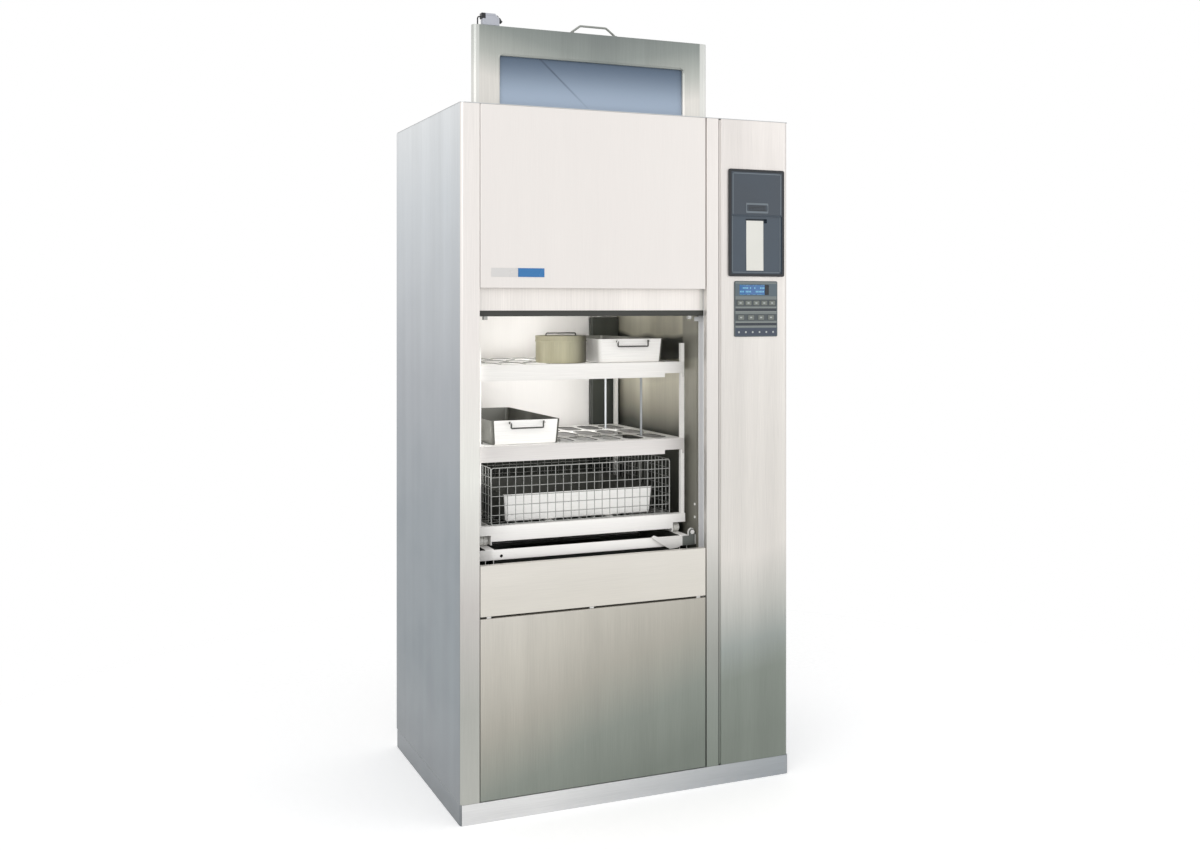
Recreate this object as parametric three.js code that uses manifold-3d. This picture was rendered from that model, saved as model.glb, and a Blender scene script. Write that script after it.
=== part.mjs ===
// Washer disinfector: a floor-standing stainless cabinet with a glazed door that rises in front of
// its wash chamber, a wheeled rack with its load, and a control column with printer and keypad.
// Lengths are in millimetres. +Z is up, the front faces -Y, and the origin is on the floor
// under the middle of the cabinet's box.
import * as THREE from 'three';
import { mergeVertices } from 'three/addons/utils/BufferGeometryUtils.js';
import Module from 'manifold-3d';

const wasm = await Module();
wasm.setup();

// Clearances and sheet.
const fit = 0.3; // between pieces that rest on each other
const run = 1; // beside pieces that slide or turn
const overrun = 5; // how far a cut reaches past the face it opens
const least = 0.03; // outline points nearer than this are one
const sheet = 1.5; // cabinet panels
const edge = 3; // outer radius of a pressed panel edge

const cabinet = { width: 1050, depth: 715, height: 2005 };
const plinth = { height: 58, wall: 3, flange: 50, corner: 10 };
const leftPost = { width: 57, corner: 10 };
const rightPost = { width: 41 };
const column = { width: 235, corner: 17, wrap: 60 };
const seam = { left: 1, right: 3, shadow: 7, foot: 2, service: 6 };
const rearFlange = 20; // folded edge of each side panel on the back
const topCover = { sheet: 2, slotPlay: 3, vent: 45, ventFromBack: 160 };
const opening = { sill: 715, lintel: 1490 };
const kick = { height: 142 };
const frontBay = 20; // from the panels' face to the door guides
const louvre = { width: 160, height: 6, pitch: 30, count: 6, bottom: 210, fromRight: 130 };

const door = {
  lap: 13.5, thick: 26, height: 802, seal: 16, sealInset: 2, travel: 710, closed: 700, edge: 12,
  stile: 81, topRail: 82, windowHeight: 640, windowCorner: 14, bevel: 6, bevelDepth: 4,
};
const glass = { thick: 6, setBack: 12, lap: 9 };
const lug = { height: 44, thick: 14, reach: 31, gusset: 22 };
const guide = {
  sheet: 2, rear: 3, flange: 16, play: 2, edgePlay: 2.5, carry: 9, foot: 540, top: 1985, slotPlay: 2,
  stopWidth: 14, stopHeight: 14, stopThick: 3.2, stopBelow: 3,
};
const bail = { foot: 135, top: 82, rise: 26, wire: 2.6, fromLeft: 302, bend: 8, pad: 12, padThick: 2.4 };
const sensor = {
  fromLeft: 30, length: 42, depth: 20, height: 34, corner: 4, plug: 8, plugLength: 22, inFront: 3,
};
const lead = { radius: 2, out: 10, rise: 14, drop: 96, gland: 5, glandLength: 3 };
const lift = { bore: 20, fromPost: 4, foot: 640, top: 1510, bracket: 30, bracketDepth: 34, cap: 4 };

const chamber = {
  sidePlay: 6, backBay: 59.7, floor: 700, ceiling: 1425, wall: 2, mouth: 22, lip: 10, outlet: 30,
};
const sump = { top: 300, bottom: 200, depth: 100, neck: 12 };
const waterColumn = { width: 102, depth: 26, fromWall: 4, backPlay: 2, top: 24, port: 12, corner: 4 };
const riser = { radius: 17, bend: 60, inset: 14 };
const heater = { radius: 4.5, reach: 78, spacing: 26, above: 20, tail: 26, terminal: 7, bend: 12 };
const dryer = {
  radius: 130, growth: 60, thick: 120, neck: 90, motor: 65, motorLength: 140, inlet: 70, wall: 3, steps: 18,
  turnShare: 3.4,
};
const pump = {
  height: 255, casing: 95, thick: 74, motor: 75, motorLength: 230, suction: 28, foot: 160, cap: 88,
  footWidth: 130, discharge: 22, fromCentre: 60, fins: 4, fin: 3, finThick: 5, bend: 40,
};
const controlBox = {
  width: 160, depth: 300, height: 700, bottom: 760, corner: 6, wall: 1.5, lid: 3, lidInset: 6, entry: 60, entryIn: 30,
};

const angle = { leg: 37, wall: 3, deep: 50 }; // the frame's angle section
const frameRail = { height: 40, support: 30, pumpSpacing: 110 };

const rack = {
  fromFront: 100, backPlay: 37.3, sidePlay: 21, lift: 14, railInset: 37, railHeight: 44, ear: 42, earHeight: 26,
  sheet: 2, upright: 12, uprightOut: 3, uprightTop: 578, sidePlate: 3, plateDrop: 10, crossBar: 24,
};
const roller = { radius: 14, width: 26, outset: 3, hub: 9, groove: 1.5, axle: 4, fromFront: 28, fromBack: 28 };
const shelf = {
  middle: 288, upper: 521, rail: 46, sheet: 2, flange: 20, margin: 24, strip: 16, columns: 8, rows: 3,
  notch: 59, notchHeight: 12, notchFrom: 5,
};
const shelfRod = { radius: 4, front: 94, back: 146, inset: 12, bay: 3 }; // bay: of the deck's columns
const arm = { reach: 235, width: 34, thick: 16, hub: 24, pin: 5, play: 0.3, fromDeck: 10, washer: 9,
  washerThick: 2, tipScale: 0.6, jet: 3, jets: 3 };
const armBelow = 13; // the lowest arm over the chamber floor

const rail = { width: 26, wall: 2, sillBottom: 17, sillHeight: 29, sillThick: 3, sillFrom: 5, tie: 10,
  overSill: 1.7, tieHeight: 18, feedWidth: 30, feedHeight: 9, hole: 5, holeFrom: 77, short: 8 };
const latch = {
  fromWall: 16, above: 56, thick: 4, front: 53, pin: 5, pinHead: 7, headThick: 1.4, lug: 11, boss: 9,
  blockWidth: 34, barTop: 45, barEnd: 100, tip: 136, tipTop: 53, hook: 9, bellyLeft: 75, bellyBottom: 7,
};

const tray = {
  width: 226, taper: 9, height: 71, wall: 1.4, corner: 14, rim: 5, rimThick: 2.4, fromFront: 12, fromBack: 26,
};
const upperTrayFromRight = 54; // from the rack's right side
const middleTrayFromLeft = 38; // from the rack's left side
const dropHandle = { width: 103, drop: 16, wire: 2, bend: 5, ear: 4, earWall: 2.2, earBelow: 5, out: 6 };
const drum = { radius: 78, height: 82, besideTray: 8, fromFront: 95, bead: 2, lid: 16, foot: 4, ease: 3, wall: 1.6, vent: 5 };
const drumHandle = { width: 96, rise: 7, wire: 2, bend: 5 };
const basket = { sidePlay: 40.5, height: 167, wire: 3, pitch: 25, coarse: 3, fromFront: 10, fromBack: 18 };
const innerTray = { sidePlay: 48, height: 80, wall: 1.6, taper: 6, corner: 12, fromFront: 24, fromBack: 66 };

const printer = {
  left: 25, width: 192, bottom: 1529, height: 325, proud: 6, rim: 8, corner: 5, body: 46, bodyInset: 6,
  coverHeight: 130, seam: 3, cover: 3.4, latchWidth: 78, latchHeight: 31, latchThick: 1.2, latchUp: 5,
  recess: 4, slotWidth: 73, slotHeight: 12, slotDepth: 14, slotUp: 9, cavity: 34, cavityInset: 14,
};
const paper = { width: 59, offset: -6, length: 151, thick: 0.6, curl: 3, below: 4, tuck: 6 };
const pad = {
  left: 45, width: 149, bottom: 1346, height: 169, proud: 3, behind: 6, corner: 4,
  lcdLeft: 17, lcdWidth: 102, lcdBottom: 127, lcdHeight: 31, lcdDepth: 2, corners: 2,
};
const key = { width: 20, height: 14, thick: 5, proud: 1.2, corner: 2.5, travel: 1 };
const keyRows = [
  { count: 5, first: 20, pitch: 27.5, height: 102.5 },
  { count: 4, first: 22, pitch: 34.7, height: 58.5 },
];

// Places that follow from the sizes.
const columnLeft = cabinet.width - column.width;
const rightPostRight = columnLeft - seam.shadow;
const rightPostLeft = rightPostRight - rightPost.width;
const panelLeft = leftPost.width + seam.left;
const panelRight = rightPostLeft - seam.right;
const middle = (leftPost.width + rightPostLeft) / 2;
const doorLeft = leftPost.width - door.lap;
const doorRight = rightPostLeft + door.lap;
const doorWidth = doorRight - doorLeft;
const coverBottom = cabinet.height - topCover.sheet;
const skinBottom = plinth.height + fit;
const skinTop = coverBottom - fit;
const returnDepth = frontBay - fit;
const doorFront = frontBay + guide.sheet + guide.play;
const doorBack = doorFront + door.thick;
const guideRear = doorBack + guide.play;
const guideBack = guideRear + guide.rear;
const chamberFront = guideBack + fit;
const mouthBack = chamberFront + chamber.wall;
const chamberLeft = leftPost.width + chamber.sidePlay;
const chamberRight = rightPostLeft - chamber.sidePlay;
const chamberBack = cabinet.depth - chamber.backBay;
const chamberUnder = chamber.floor - chamber.wall;
const doorBottom = door.closed + door.travel;
const guideWebLeft = doorLeft - guide.edgePlay;
const guideWebRight = doorRight + guide.edgePlay;
const innerFront = mouthBack + fit;
const rackWidth = chamberRight - chamberLeft - 2 * rack.sidePlay;
const rackDepth = chamberBack - rack.backPlay - rack.fromFront;
const rackRail = rackWidth - 2 * rack.railInset;
const rackMiddle = rack.fromFront + rackDepth / 2;
const basketWidth = rackWidth - 2 * basket.sidePlay;
const basketDepth = rackDepth - basket.fromFront - basket.fromBack;
const trayDepth = rackDepth - tray.fromFront - tray.fromBack;
const upperTrayX = rackWidth / 2 - upperTrayFromRight - tray.width / 2;
const middleTrayX = middleTrayFromLeft + (tray.width - rackWidth) / 2;
const drumX = upperTrayX - tray.width / 2 - drum.besideTray - drum.radius;
const sumpMiddle = rackMiddle;
const railTop = chamber.floor + rail.sillBottom + rail.sillHeight + rail.overSill;
const rackBase = railTop + fit;
const foremost = printer.proud + printer.latchThick - fit; // the printer cover's latch plate

const finishes = {
  brushed: { color: 0xc9cac6, roughness: 0.34, metalness: 0.9 },
  bright: { color: 0xdcdcd8, roughness: 0.24, metalness: 0.95 },
  dull: { color: 0x9a9c98, roughness: 0.5, metalness: 0.8 },
  zinc: { color: 0xa8adb0, roughness: 0.55, metalness: 0.7 },
  enamel: { color: 0x39424c, roughness: 0.5, metalness: 0.1 },
  motor: { color: 0x4f5a63, roughness: 0.6, metalness: 0.3 },
  rubber: { color: 0x1c1e1e, roughness: 0.8, metalness: 0 },
  plastic: { color: 0x596675, roughness: 0.45, metalness: 0 },
  bezel: { color: 0x23272c, roughness: 0.4, metalness: 0 },
  grey: { color: 0x8f9694, roughness: 0.5, metalness: 0 },
  nylon: { color: 0xf0efea, roughness: 0.5, metalness: 0 },
  keys: { color: 0xb9c2c6, roughness: 0.5, metalness: 0 },
  paper: { color: 0xf4f3ee, roughness: 0.9, metalness: 0 },
  drum: { color: 0xb8b48f, roughness: 0.35, metalness: 0.7 },
  pane: { color: 0x8ea4b8, roughness: 0.08, metalness: 0 },
};

const quarter = Math.PI / 2;
const grain = 1024; // points are rounded to this share of a unit, so that faces that meet agree

// A closed geometry as a solid that can be joined and cut.
function solid(geometry) {
  const plain = geometry.clone();
  const points = plain.attributes.position;
  for (let i = 0; i < points.count; i += 1) {
    points.setXYZ(i, ...[points.getX(i), points.getY(i), points.getZ(i)].map((v) => Math.round(v * grain) / grain));
  }
  plain.deleteAttribute('normal');
  plain.deleteAttribute('uv');
  const merged = mergeVertices(plain);
  return new wasm.Manifold(new wasm.Mesh({
    numProp: 3,
    vertProperties: new Float32Array(merged.attributes.position.array),
    triVerts: new Uint32Array(merged.index.array),
  }));
}

// The surface of a joined solid, with the seams left inside its flat faces taken out.
function geometryOf(body) {
  const mesh = body.asOriginal().simplify().getMesh();
  const geometry = new THREE.BufferGeometry();
  geometry.setAttribute('position', new THREE.BufferAttribute(mesh.vertProperties, mesh.numProp));
  geometry.setIndex(new THREE.BufferAttribute(mesh.triVerts, 1));
  geometry.computeVertexNormals();
  return geometry;
}

const join = (first, ...others) => others.reduce((sum, other) => sum.add(other), first);
const cut = (first, ...others) => others.reduce((rest, other) => rest.subtract(other), first);

function block(x0, x1, y0, y1, z0, z1) {
  const geometry = new THREE.BoxGeometry(x1 - x0, y1 - y0, z1 - z0);
  geometry.translate((x0 + x1) / 2, (y0 + y1) / 2, (z0 + z1) / 2);
  return solid(geometry);
}

function extruded(shape, depth, segments) {
  return new THREE.ExtrudeGeometry(shape, { depth, bevelEnabled: false, curveSegments: segments });
}

// Extrusions of a drawn outline along each axis. The outline is drawn as (x, y), (x, z) or (y, z).
function alongZ(shape, z0, z1, segments = 3) {
  return solid(extruded(shape, z1 - z0, segments).translate(0, 0, z0));
}

function alongY(shape, y0, y1, segments = 3) {
  return solid(extruded(shape, y1 - y0, segments).rotateX(quarter).translate(0, y1, 0));
}

function alongX(shape, x0, x1, segments = 3) {
  return solid(extruded(shape, x1 - x0, segments).rotateX(quarter).rotateZ(quarter).translate(x0, 0, 0));
}

// A rectangle with rounded corners, each in the given count of steps.
function rounded(x0, x1, y0, y1, radius, steps = 2) {
  const r = Math.min(radius, (x1 - x0) / 2, (y1 - y0) / 2);
  const centres = [[x1 - r, y0 + r, -1], [x1 - r, y1 - r, 0], [x0 + r, y1 - r, 1], [x0 + r, y0 + r, 2]];
  return polygon(centres.flatMap(([x, y, turns]) => Array.from({ length: steps + 1 }, (_, i) => {
    const turn = quarter * (turns + i / steps);
    return [x + r * Math.cos(turn), y + r * Math.sin(turn)];
  })));
}

function disc(x, y, radius, sides) {
  return polygon(Array.from({ length: sides }, (_, i) => {
    const turn = (4 * quarter * i) / sides;
    return [x + radius * Math.cos(turn), y + radius * Math.sin(turn)];
  }));
}

// An outline through points, without the ones that fall on the point before.
function polygon(points) {
  const apart = ([x, y], [u, v]) => Math.hypot(x - u, y - v) > least;
  const kept = points.filter((point, i) => i === 0 || apart(point, points[i - 1]));
  if (!apart(kept[0], kept[kept.length - 1])) kept.pop();
  return new THREE.Shape(kept.map(([x, y]) => new THREE.Vector2(x, y)));
}

// A cylinder between two heights, and the same lying along X or Y.
const post = (x, y, r, z0, z1, sides = 12) => alongZ(disc(x, y, r, sides), z0, z1);
const pinX = (y, z, r, x0, x1, sides = 12) => alongX(disc(y, z, r, sides), x0, x1);
const pinY = (x, z, r, y0, y1, sides = 12) => alongY(disc(x, z, r, sides), y0, y1);

// Replaces each inner corner of a path by an arc of the given radius.
function easedPath(corners, radii, steps = 4) {
  const points = [];
  corners.forEach((corner, i) => {
    const radius = radii[i] || 0;
    if (i === 0 || i === corners.length - 1 || radius <= 0) {
      points.push(corner.clone());
      return;
    }
    const before = corners[i - 1].clone().sub(corner).normalize();
    const after = corners[i + 1].clone().sub(corner).normalize();
    const half = Math.acos(THREE.MathUtils.clamp(before.dot(after), -1, 1)) / 2;
    const reach = radius / Math.tan(half);
    const start = corner.clone().addScaledVector(before, reach);
    const end = corner.clone().addScaledVector(after, reach);
    const centre = corner.clone().addScaledVector(before.clone().add(after).normalize(), radius / Math.sin(half));
    const from = Math.atan2(start.y - centre.y, start.x - centre.x);
    let turn = Math.atan2(end.y - centre.y, end.x - centre.x) - from;
    if (turn > Math.PI) turn -= 4 * quarter;
    if (turn < -Math.PI) turn += 4 * quarter;
    for (let k = 0; k <= steps; k += 1) {
      const at = from + (turn * k) / steps;
      points.push(new THREE.Vector2(centre.x + radius * Math.cos(at), centre.y + radius * Math.sin(at)));
    }
  });
  return points;
}

// The outline of folded sheet: the path is its outer face, and the wall lies to the path's left.
function folded(path, thickness, radii = []) {
  const corners = path.map(([x, y]) => new THREE.Vector2(x, y));
  const inner = corners.map((corner, i) => {
    const into = i > 0 ? corner.clone().sub(corners[i - 1]).normalize() : null;
    const out = i < corners.length - 1 ? corners[i + 1].clone().sub(corner).normalize() : null;
    const a = into || out;
    const b = out || into;
    const normal = new THREE.Vector2(-a.y - b.y, a.x + b.x).normalize();
    const scale = thickness / Math.max(normal.dot(new THREE.Vector2(-a.y, a.x)), Number.EPSILON);
    return corner.clone().addScaledVector(normal, scale);
  });
  const innerRadii = radii.map((radius) => Math.max(radius - thickness, 0));
  const outline = [...easedPath(corners, radii), ...easedPath(inner, innerRadii).reverse()];
  return new THREE.Shape(outline);
}

// A solid through rings of points, all with the same count, closed at both ends.
function loft(rings) {
  const count = rings[0].length;
  const positions = rings.flat().flatMap((point) => [point.x, point.y, point.z]);
  const faces = [];
  for (let ring = 0; ring + 1 < rings.length; ring += 1) {
    for (let i = 0; i < count; i += 1) {
      const a = ring * count + i;
      const b = ring * count + ((i + 1) % count);
      faces.push(a, b, b + count, a, b + count, a + count);
    }
  }
  const last = (rings.length - 1) * count;
  for (let i = 1; i + 1 < count; i += 1) {
    faces.push(0, i + 1, i);
    faces.push(last, last + i, last + i + 1);
  }
  const geometry = new THREE.BufferGeometry();
  geometry.setAttribute('position', new THREE.Float32BufferAttribute(positions, 3));
  geometry.setIndex(faces);
  return solid(geometry);
}

// A ring of points round a rounded rectangle centred on (x, y).
function ringAt(x, y, z, width, depth, radius) {
  const shape = rounded(x - width / 2, x + width / 2, y - depth / 2, y + depth / 2, radius, 3);
  return shape.extractPoints(1).shape.map((point) => new THREE.Vector3(point.x, point.y, z));
}

// A wire of round section through straight runs with bent corners.
function wire(points, bendRadius, radius, sides = 8, stepsPerBend = 4) {
  const path = new THREE.CurvePath();
  let from = points[0].clone();
  for (let i = 1; i + 1 < points.length; i += 1) {
    const before = points[i - 1].clone().sub(points[i]).normalize();
    const after = points[i + 1].clone().sub(points[i]).normalize();
    const start = points[i].clone().addScaledVector(before, bendRadius);
    const end = points[i].clone().addScaledVector(after, bendRadius);
    path.add(new THREE.LineCurve3(from, start));
    path.add(new THREE.QuadraticBezierCurve3(start, points[i].clone(), end));
    from = end;
  }
  path.add(new THREE.LineCurve3(from, points[points.length - 1].clone()));
  return swept(path, radius, sides, stepsPerBend);
}

// Sweeps a round section along the runs of a path, with steps only where it bends.
function swept(path, radius, sides, stepsPerBend) {
  const centres = [];
  path.curves.forEach((curve, i) => {
    const steps = curve.isLineCurve3 ? 1 : stepsPerBend;
    for (let k = i === 0 ? 0 : 1; k <= steps; k += 1) {
      centres.push({ at: curve.getPoint(k / steps), along: curve.getTangent(k / steps) });
    }
  });
  let across = Math.abs(centres[0].along.z) < Math.SQRT1_2
    ? new THREE.Vector3(0, 0, 1) : new THREE.Vector3(0, 1, 0);
  const rings = centres.map(({ at, along }) => {
    across = across.clone().addScaledVector(along, -across.dot(along)).normalize();
    const other = new THREE.Vector3().crossVectors(along, across);
    return Array.from({ length: sides }, (_, k) => {
      const turn = (4 * quarter * k) / sides;
      return at.clone().addScaledVector(across, radius * Math.cos(turn))
        .addScaledVector(other, radius * Math.sin(turn));
    });
  });
  return loft(rings);
}

const at = (x, y, z) => new THREE.Vector3(x, y, z);

// A turned solid round the Z axis. The profile's points are (radius, height).
function turned(profile, segments) {
  const geometry = new THREE.LatheGeometry(profile.map(([r, h]) => new THREE.Vector2(r, h)), segments);
  return solid(geometry.rotateX(quarter));
}

const part = new THREE.Group();
const body = new THREE.Group();
body.position.set(-cabinet.width / 2, foremost - (cabinet.depth + foremost) / 2, 0);
part.add(body);

function place(parent, name, shape, finish, position = [0, 0, 0]) {
  const mesh = new THREE.Mesh(geometryOf(shape), new THREE.MeshStandardMaterial(finishes[finish]));
  mesh.name = name;
  mesh.position.set(...position);
  parent.add(mesh);
  return mesh;
}

// Cabinet.

// A channel-section ring under the whole cabinet.
function makePlinth() {
  const outer = alongZ(rounded(0, cabinet.width, 0, cabinet.depth, plinth.corner, 3), 0, plinth.height);
  const inFlange = plinth.flange;
  const well = block(inFlange, cabinet.width - inFlange, inFlange, cabinet.depth - inFlange,
    -overrun, plinth.height + overrun);
  const web = block(plinth.wall, cabinet.width - plinth.wall, plinth.wall, cabinet.depth - plinth.wall,
    plinth.wall, plinth.height - plinth.wall);
  return cut(outer, join(well, web));
}

// A shallow pan of sheet with its rim turned back on all four sides.
function pan(x0, x1, z0, z1) {
  const outline = rounded(x0, x1, 0, returnDepth + edge, edge);
  const shell = cut(alongZ(outline, z0, z1), block(x0 - overrun, x1 + overrun, returnDepth,
    returnDepth + edge + overrun, z0 - overrun, z1 + overrun));
  return cut(shell, block(x0 + sheet, x1 - sheet, sheet, returnDepth + overrun, z0 + sheet, z1 - sheet));
}

function makeLeftSide() {
  const outline = folded([
    [rearFlange, cabinet.depth], [0, cabinet.depth], [0, 0], [leftPost.width, 0], [leftPost.width, returnDepth],
  ], sheet, [0, sheet, leftPost.corner, edge]);
  return alongZ(outline, skinBottom, skinTop);
}

function makeRightSide() {
  const front = column.wrap + fit;
  const outline = folded([
    [cabinet.width, front], [cabinet.width, cabinet.depth], [cabinet.width - rearFlange, cabinet.depth],
  ], sheet, [0, sheet]);
  return alongZ(outline, skinBottom, skinTop);
}

function makeRightPost() {
  const outline = folded([
    [rightPostLeft, returnDepth], [rightPostLeft, 0], [rightPostRight, 0], [rightPostRight, returnDepth],
  ], sheet, [0, edge, edge]);
  return alongZ(outline, skinBottom, skinTop);
}

function makeColumn() {
  const outline = folded([
    [columnLeft, returnDepth], [columnLeft, 0], [cabinet.width, 0], [cabinet.width, column.wrap],
  ], sheet, [0, edge, column.corner]);
  const printerLeft = columnLeft + printer.left + printer.bodyInset - fit;
  const printerRight = columnLeft + printer.left + printer.width - printer.bodyInset + fit;
  const padInset = pad.behind;
  return cut(
    alongZ(outline, skinBottom, skinTop),
    block(printerLeft, printerRight, -overrun, sheet + overrun, printer.bottom + printer.bodyInset - fit,
      printer.bottom + printer.height - printer.bodyInset + fit),
    block(columnLeft + pad.left + padInset - fit, columnLeft + pad.left + pad.width - padInset + fit,
      -overrun, sheet + overrun, pad.bottom + padInset - fit, pad.bottom + pad.height - padInset + fit),
  );
}

function makeTopCover() {
  const plate = alongZ(rounded(0, cabinet.width, 0, cabinet.depth, leftPost.corner), coverBottom, cabinet.height);
  const play = topCover.slotPlay;
  return cut(
    plate,
    block(doorLeft - play, doorRight + play, doorFront - play, doorBack + lead.gland + play,
      coverBottom - overrun, cabinet.height + overrun),
    post(middle, cabinet.depth - topCover.ventFromBack, topCover.vent, coverBottom - overrun,
      cabinet.height + overrun, 12),
  );
}

function makeBackPanel() {
  const left = rearFlange + fit;
  const right = cabinet.width - rearFlange - fit;
  const slots = Array.from({ length: louvre.count }, (_, i) => {
    const z = louvre.bottom + i * louvre.pitch;
    const x = right - louvre.fromRight;
    return alongY(rounded(x - louvre.width, x, z, z + louvre.height, louvre.height / 2),
      cabinet.depth - sheet - overrun, cabinet.depth + overrun);
  });
  return cut(block(left, right, cabinet.depth - sheet, cabinet.depth, skinBottom, skinTop), ...slots);
}

// Angle-iron frame: corner posts, two posts beside the chamber, and rails between them.
function makeInnerFrame() {
  const { leg, wall, deep } = angle;
  const left = sheet + fit;
  const right = cabinet.width - sheet - fit;
  const back = cabinet.depth - sheet - fit;
  const bottom = skinBottom;
  const top = skinTop;
  const postLeft = guideWebLeft - guide.sheet - fit;
  const midRight = rightPostRight;
  const l = (x0, x1, y0, y1, xWeb, yWeb, z0 = bottom, z1 = top) => join(
    block(xWeb, xWeb + wall, y0, y1, z0, z1), block(x0, x1, yWeb, yWeb + wall, z0, z1));
  const front = returnDepth + fit;
  const foot = frameRail.height;
  const crossZ = chamberUnder - fit - foot;
  const railBack = back - leg;
  const posts = join(
    l(left, postLeft, front, front + leg, left, front + leg - wall),
    l(left, left + leg, back - leg, back, left, back - wall),
    l(midRight - leg, midRight, innerFront, innerFront + deep, midRight - wall, innerFront),
    l(midRight - leg, midRight, back - deep, back, midRight - wall, back - wall),
    l(right - leg, right, front, column.wrap, right - wall, column.wrap - wall),
    l(right - leg, right, back - leg, back, right - wall, back - wall),
  );
  const rows = [bottom, top - foot];
  const rings = rows.flatMap((z) => [
    block(left, left + wall, front, back, z, z + foot),
    block(right - wall, right, front, back, z, z + foot),
    block(left, right, back - wall, back, z, z + foot),
    block(left, right, innerFront, innerFront + wall, z, z + foot),
  ]);
  const shelves = [
    block(left, left + wall, front, back, crossZ, crossZ + foot),
    block(left, midRight, innerFront, innerFront + deep, crossZ + foot - wall, crossZ + foot),
    block(left, midRight, innerFront, innerFront + wall, crossZ, crossZ + foot),
    block(left, midRight, railBack - foot, railBack, crossZ + foot - wall, crossZ + foot),
    block(left, midRight, railBack - wall, railBack, crossZ, crossZ + foot),
    block(midRight - wall, midRight, innerFront, back, crossZ, crossZ + foot),
  ];
  const pumpRails = [-1, 1].map((side) => {
    const x = middle + pump.fromCentre + pump.foot / 2 + (side * frameRail.pumpSpacing) / 2;
    return block(x - frameRail.support / 2, x + frameRail.support / 2, innerFront, back,
      bottom, bottom + foot);
  });
  const riserGap = post(riserX(), riserY(), riser.radius + run + fit, crossZ, crossZ + foot + overrun, 16);
  return cut(join(posts, ...rings, ...shelves, ...pumpRails), riserGap);
}

// Chamber: an open-fronted box with a flange round its mouth and a tapered sump below.
function makeChamber() {
  const { wall, mouth, lip, outlet } = chamber;
  const x0 = chamberLeft;
  const x1 = chamberRight;
  const shell = block(x0 - wall, x1 + wall, chamberFront, chamberBack + wall, chamberUnder, chamber.ceiling + wall);
  const flange = block(x0 - mouth, x1 + mouth, chamberFront, mouthBack, chamberUnder,
    chamber.ceiling + lip);
  const inside = block(x0, x1, chamberFront - overrun, chamberBack, chamber.floor, chamber.ceiling);
  const sumpAt = (z, size) => ringAt(middle, sumpMiddle, z, size, size, sump.neck);
  const bowlBottom = chamberUnder - sump.depth;
  const bowl = loft([sumpAt(bowlBottom, sump.bottom + 2 * wall), sumpAt(chamberUnder + wall / 2, sump.top + 2 * wall)]);
  const hollow = loft([sumpAt(bowlBottom + wall, sump.bottom), sumpAt(chamber.floor + wall, sump.top)]);
  const neck = post(middle, sumpMiddle, outlet + wall, bowlBottom - sump.neck, bowlBottom + wall / 2);
  const drain = post(middle, sumpMiddle, outlet, bowlBottom - sump.neck - overrun, bowlBottom + wall + overrun);
  const heaterHoles = heaterEnds().map(([x, y]) => post(x, y, heater.radius + fit, bowlBottom - overrun,
    bowlBottom + wall + overrun));
  const riserHole = post(riserX(), riserY(), riser.radius + run, chamberUnder - overrun,
    chamber.floor + overrun, 16);
  const dryerHole = block(middle - dryer.neck / 2 + wall, middle + dryer.neck / 2 - wall,
    sumpMiddle - dryer.thick / 2 + wall, sumpMiddle + dryer.thick / 2 - wall,
    chamber.ceiling - overrun, chamber.ceiling + wall + overrun);
  return cut(join(shell, flange, bowl, neck), inside, hollow, drain, riserHole, dryerHole, ...heaterHoles);
}

function riserX() {
  return chamberRight - waterColumn.fromWall - waterColumn.width / 2;
}

function riserY() {
  return chamberBack - waterColumn.backPlay - waterColumn.depth / 2 - riser.inset / 2;
}

function heaterEnds() {
  return [-1, 1].map((side) => [middle + side * heater.spacing, sumpMiddle - heater.reach]);
}

// The feed column in the chamber's rear corner, with the pipe that rises to it from the pump.
function makeWaterColumn() {
  const x1 = chamberRight - waterColumn.fromWall;
  const x0 = x1 - waterColumn.width;
  const y1 = chamberBack - fit;
  const y0 = y1 - waterColumn.backPlay - waterColumn.depth;
  const z0 = chamber.floor + fit;
  const duct = alongZ(rounded(x0, x1, y0, y1, waterColumn.corner), z0, chamber.ceiling - waterColumn.top);
  const ports = [armBelow + rackBase - chamber.floor, shelf.middle + rackBase - chamber.floor - shelf.rail / 2,
    shelf.upper + rackBase - chamber.floor - shelf.rail / 2].map((up) => (
    pinY((x0 + x1) / 2, chamber.floor + up, waterColumn.port, y0 - overrun / 2, y0 + overrun, 10)));
  const pipeTop = z0 + overrun;
  const level = (pump.height + chamberUnder - sump.depth) / 2;
  const start = at(pumpOutX(), pumpOutY(), pump.height + pump.casing + fit);
  const pipe = wire([start, at(start.x, start.y, level), at(riserX(), start.y, level),
    at(riserX(), riserY(), level), at(riserX(), riserY(), pipeTop)], riser.bend, riser.radius, 8, 3);
  return join(duct, ...ports, pipe);
}

const pumpOutX = () => middle;
const pumpOutY = () => sumpMiddle + pump.casing - pump.discharge;

// A hairpin element above the sump's floor, its ends down through it to their terminals.
function makeHeater() {
  const [near] = heaterEnds();
  const far = sumpMiddle + heater.reach;
  const out = heater.reach;
  const z = chamberUnder - sump.depth + chamber.wall + heater.above;
  const low = chamberUnder - sump.depth - heater.tail;
  const half = heater.spacing;
  const points = [at(middle - half, near[1], low), at(middle - half, near[1], z), at(middle - out, near[1], z),
    at(middle - out, far, z), at(middle + out, far, z), at(middle + out, near[1], z),
    at(middle + half, near[1], z), at(middle + half, near[1], low)];
  const loop = wire(points, heater.bend, heater.radius, 6, 2);
  const caps = heaterEnds().map(([x, y]) => post(x, y, heater.terminal, low - heater.terminal, low + overrun / 2, 6));
  return join(loop, ...caps);
}

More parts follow.
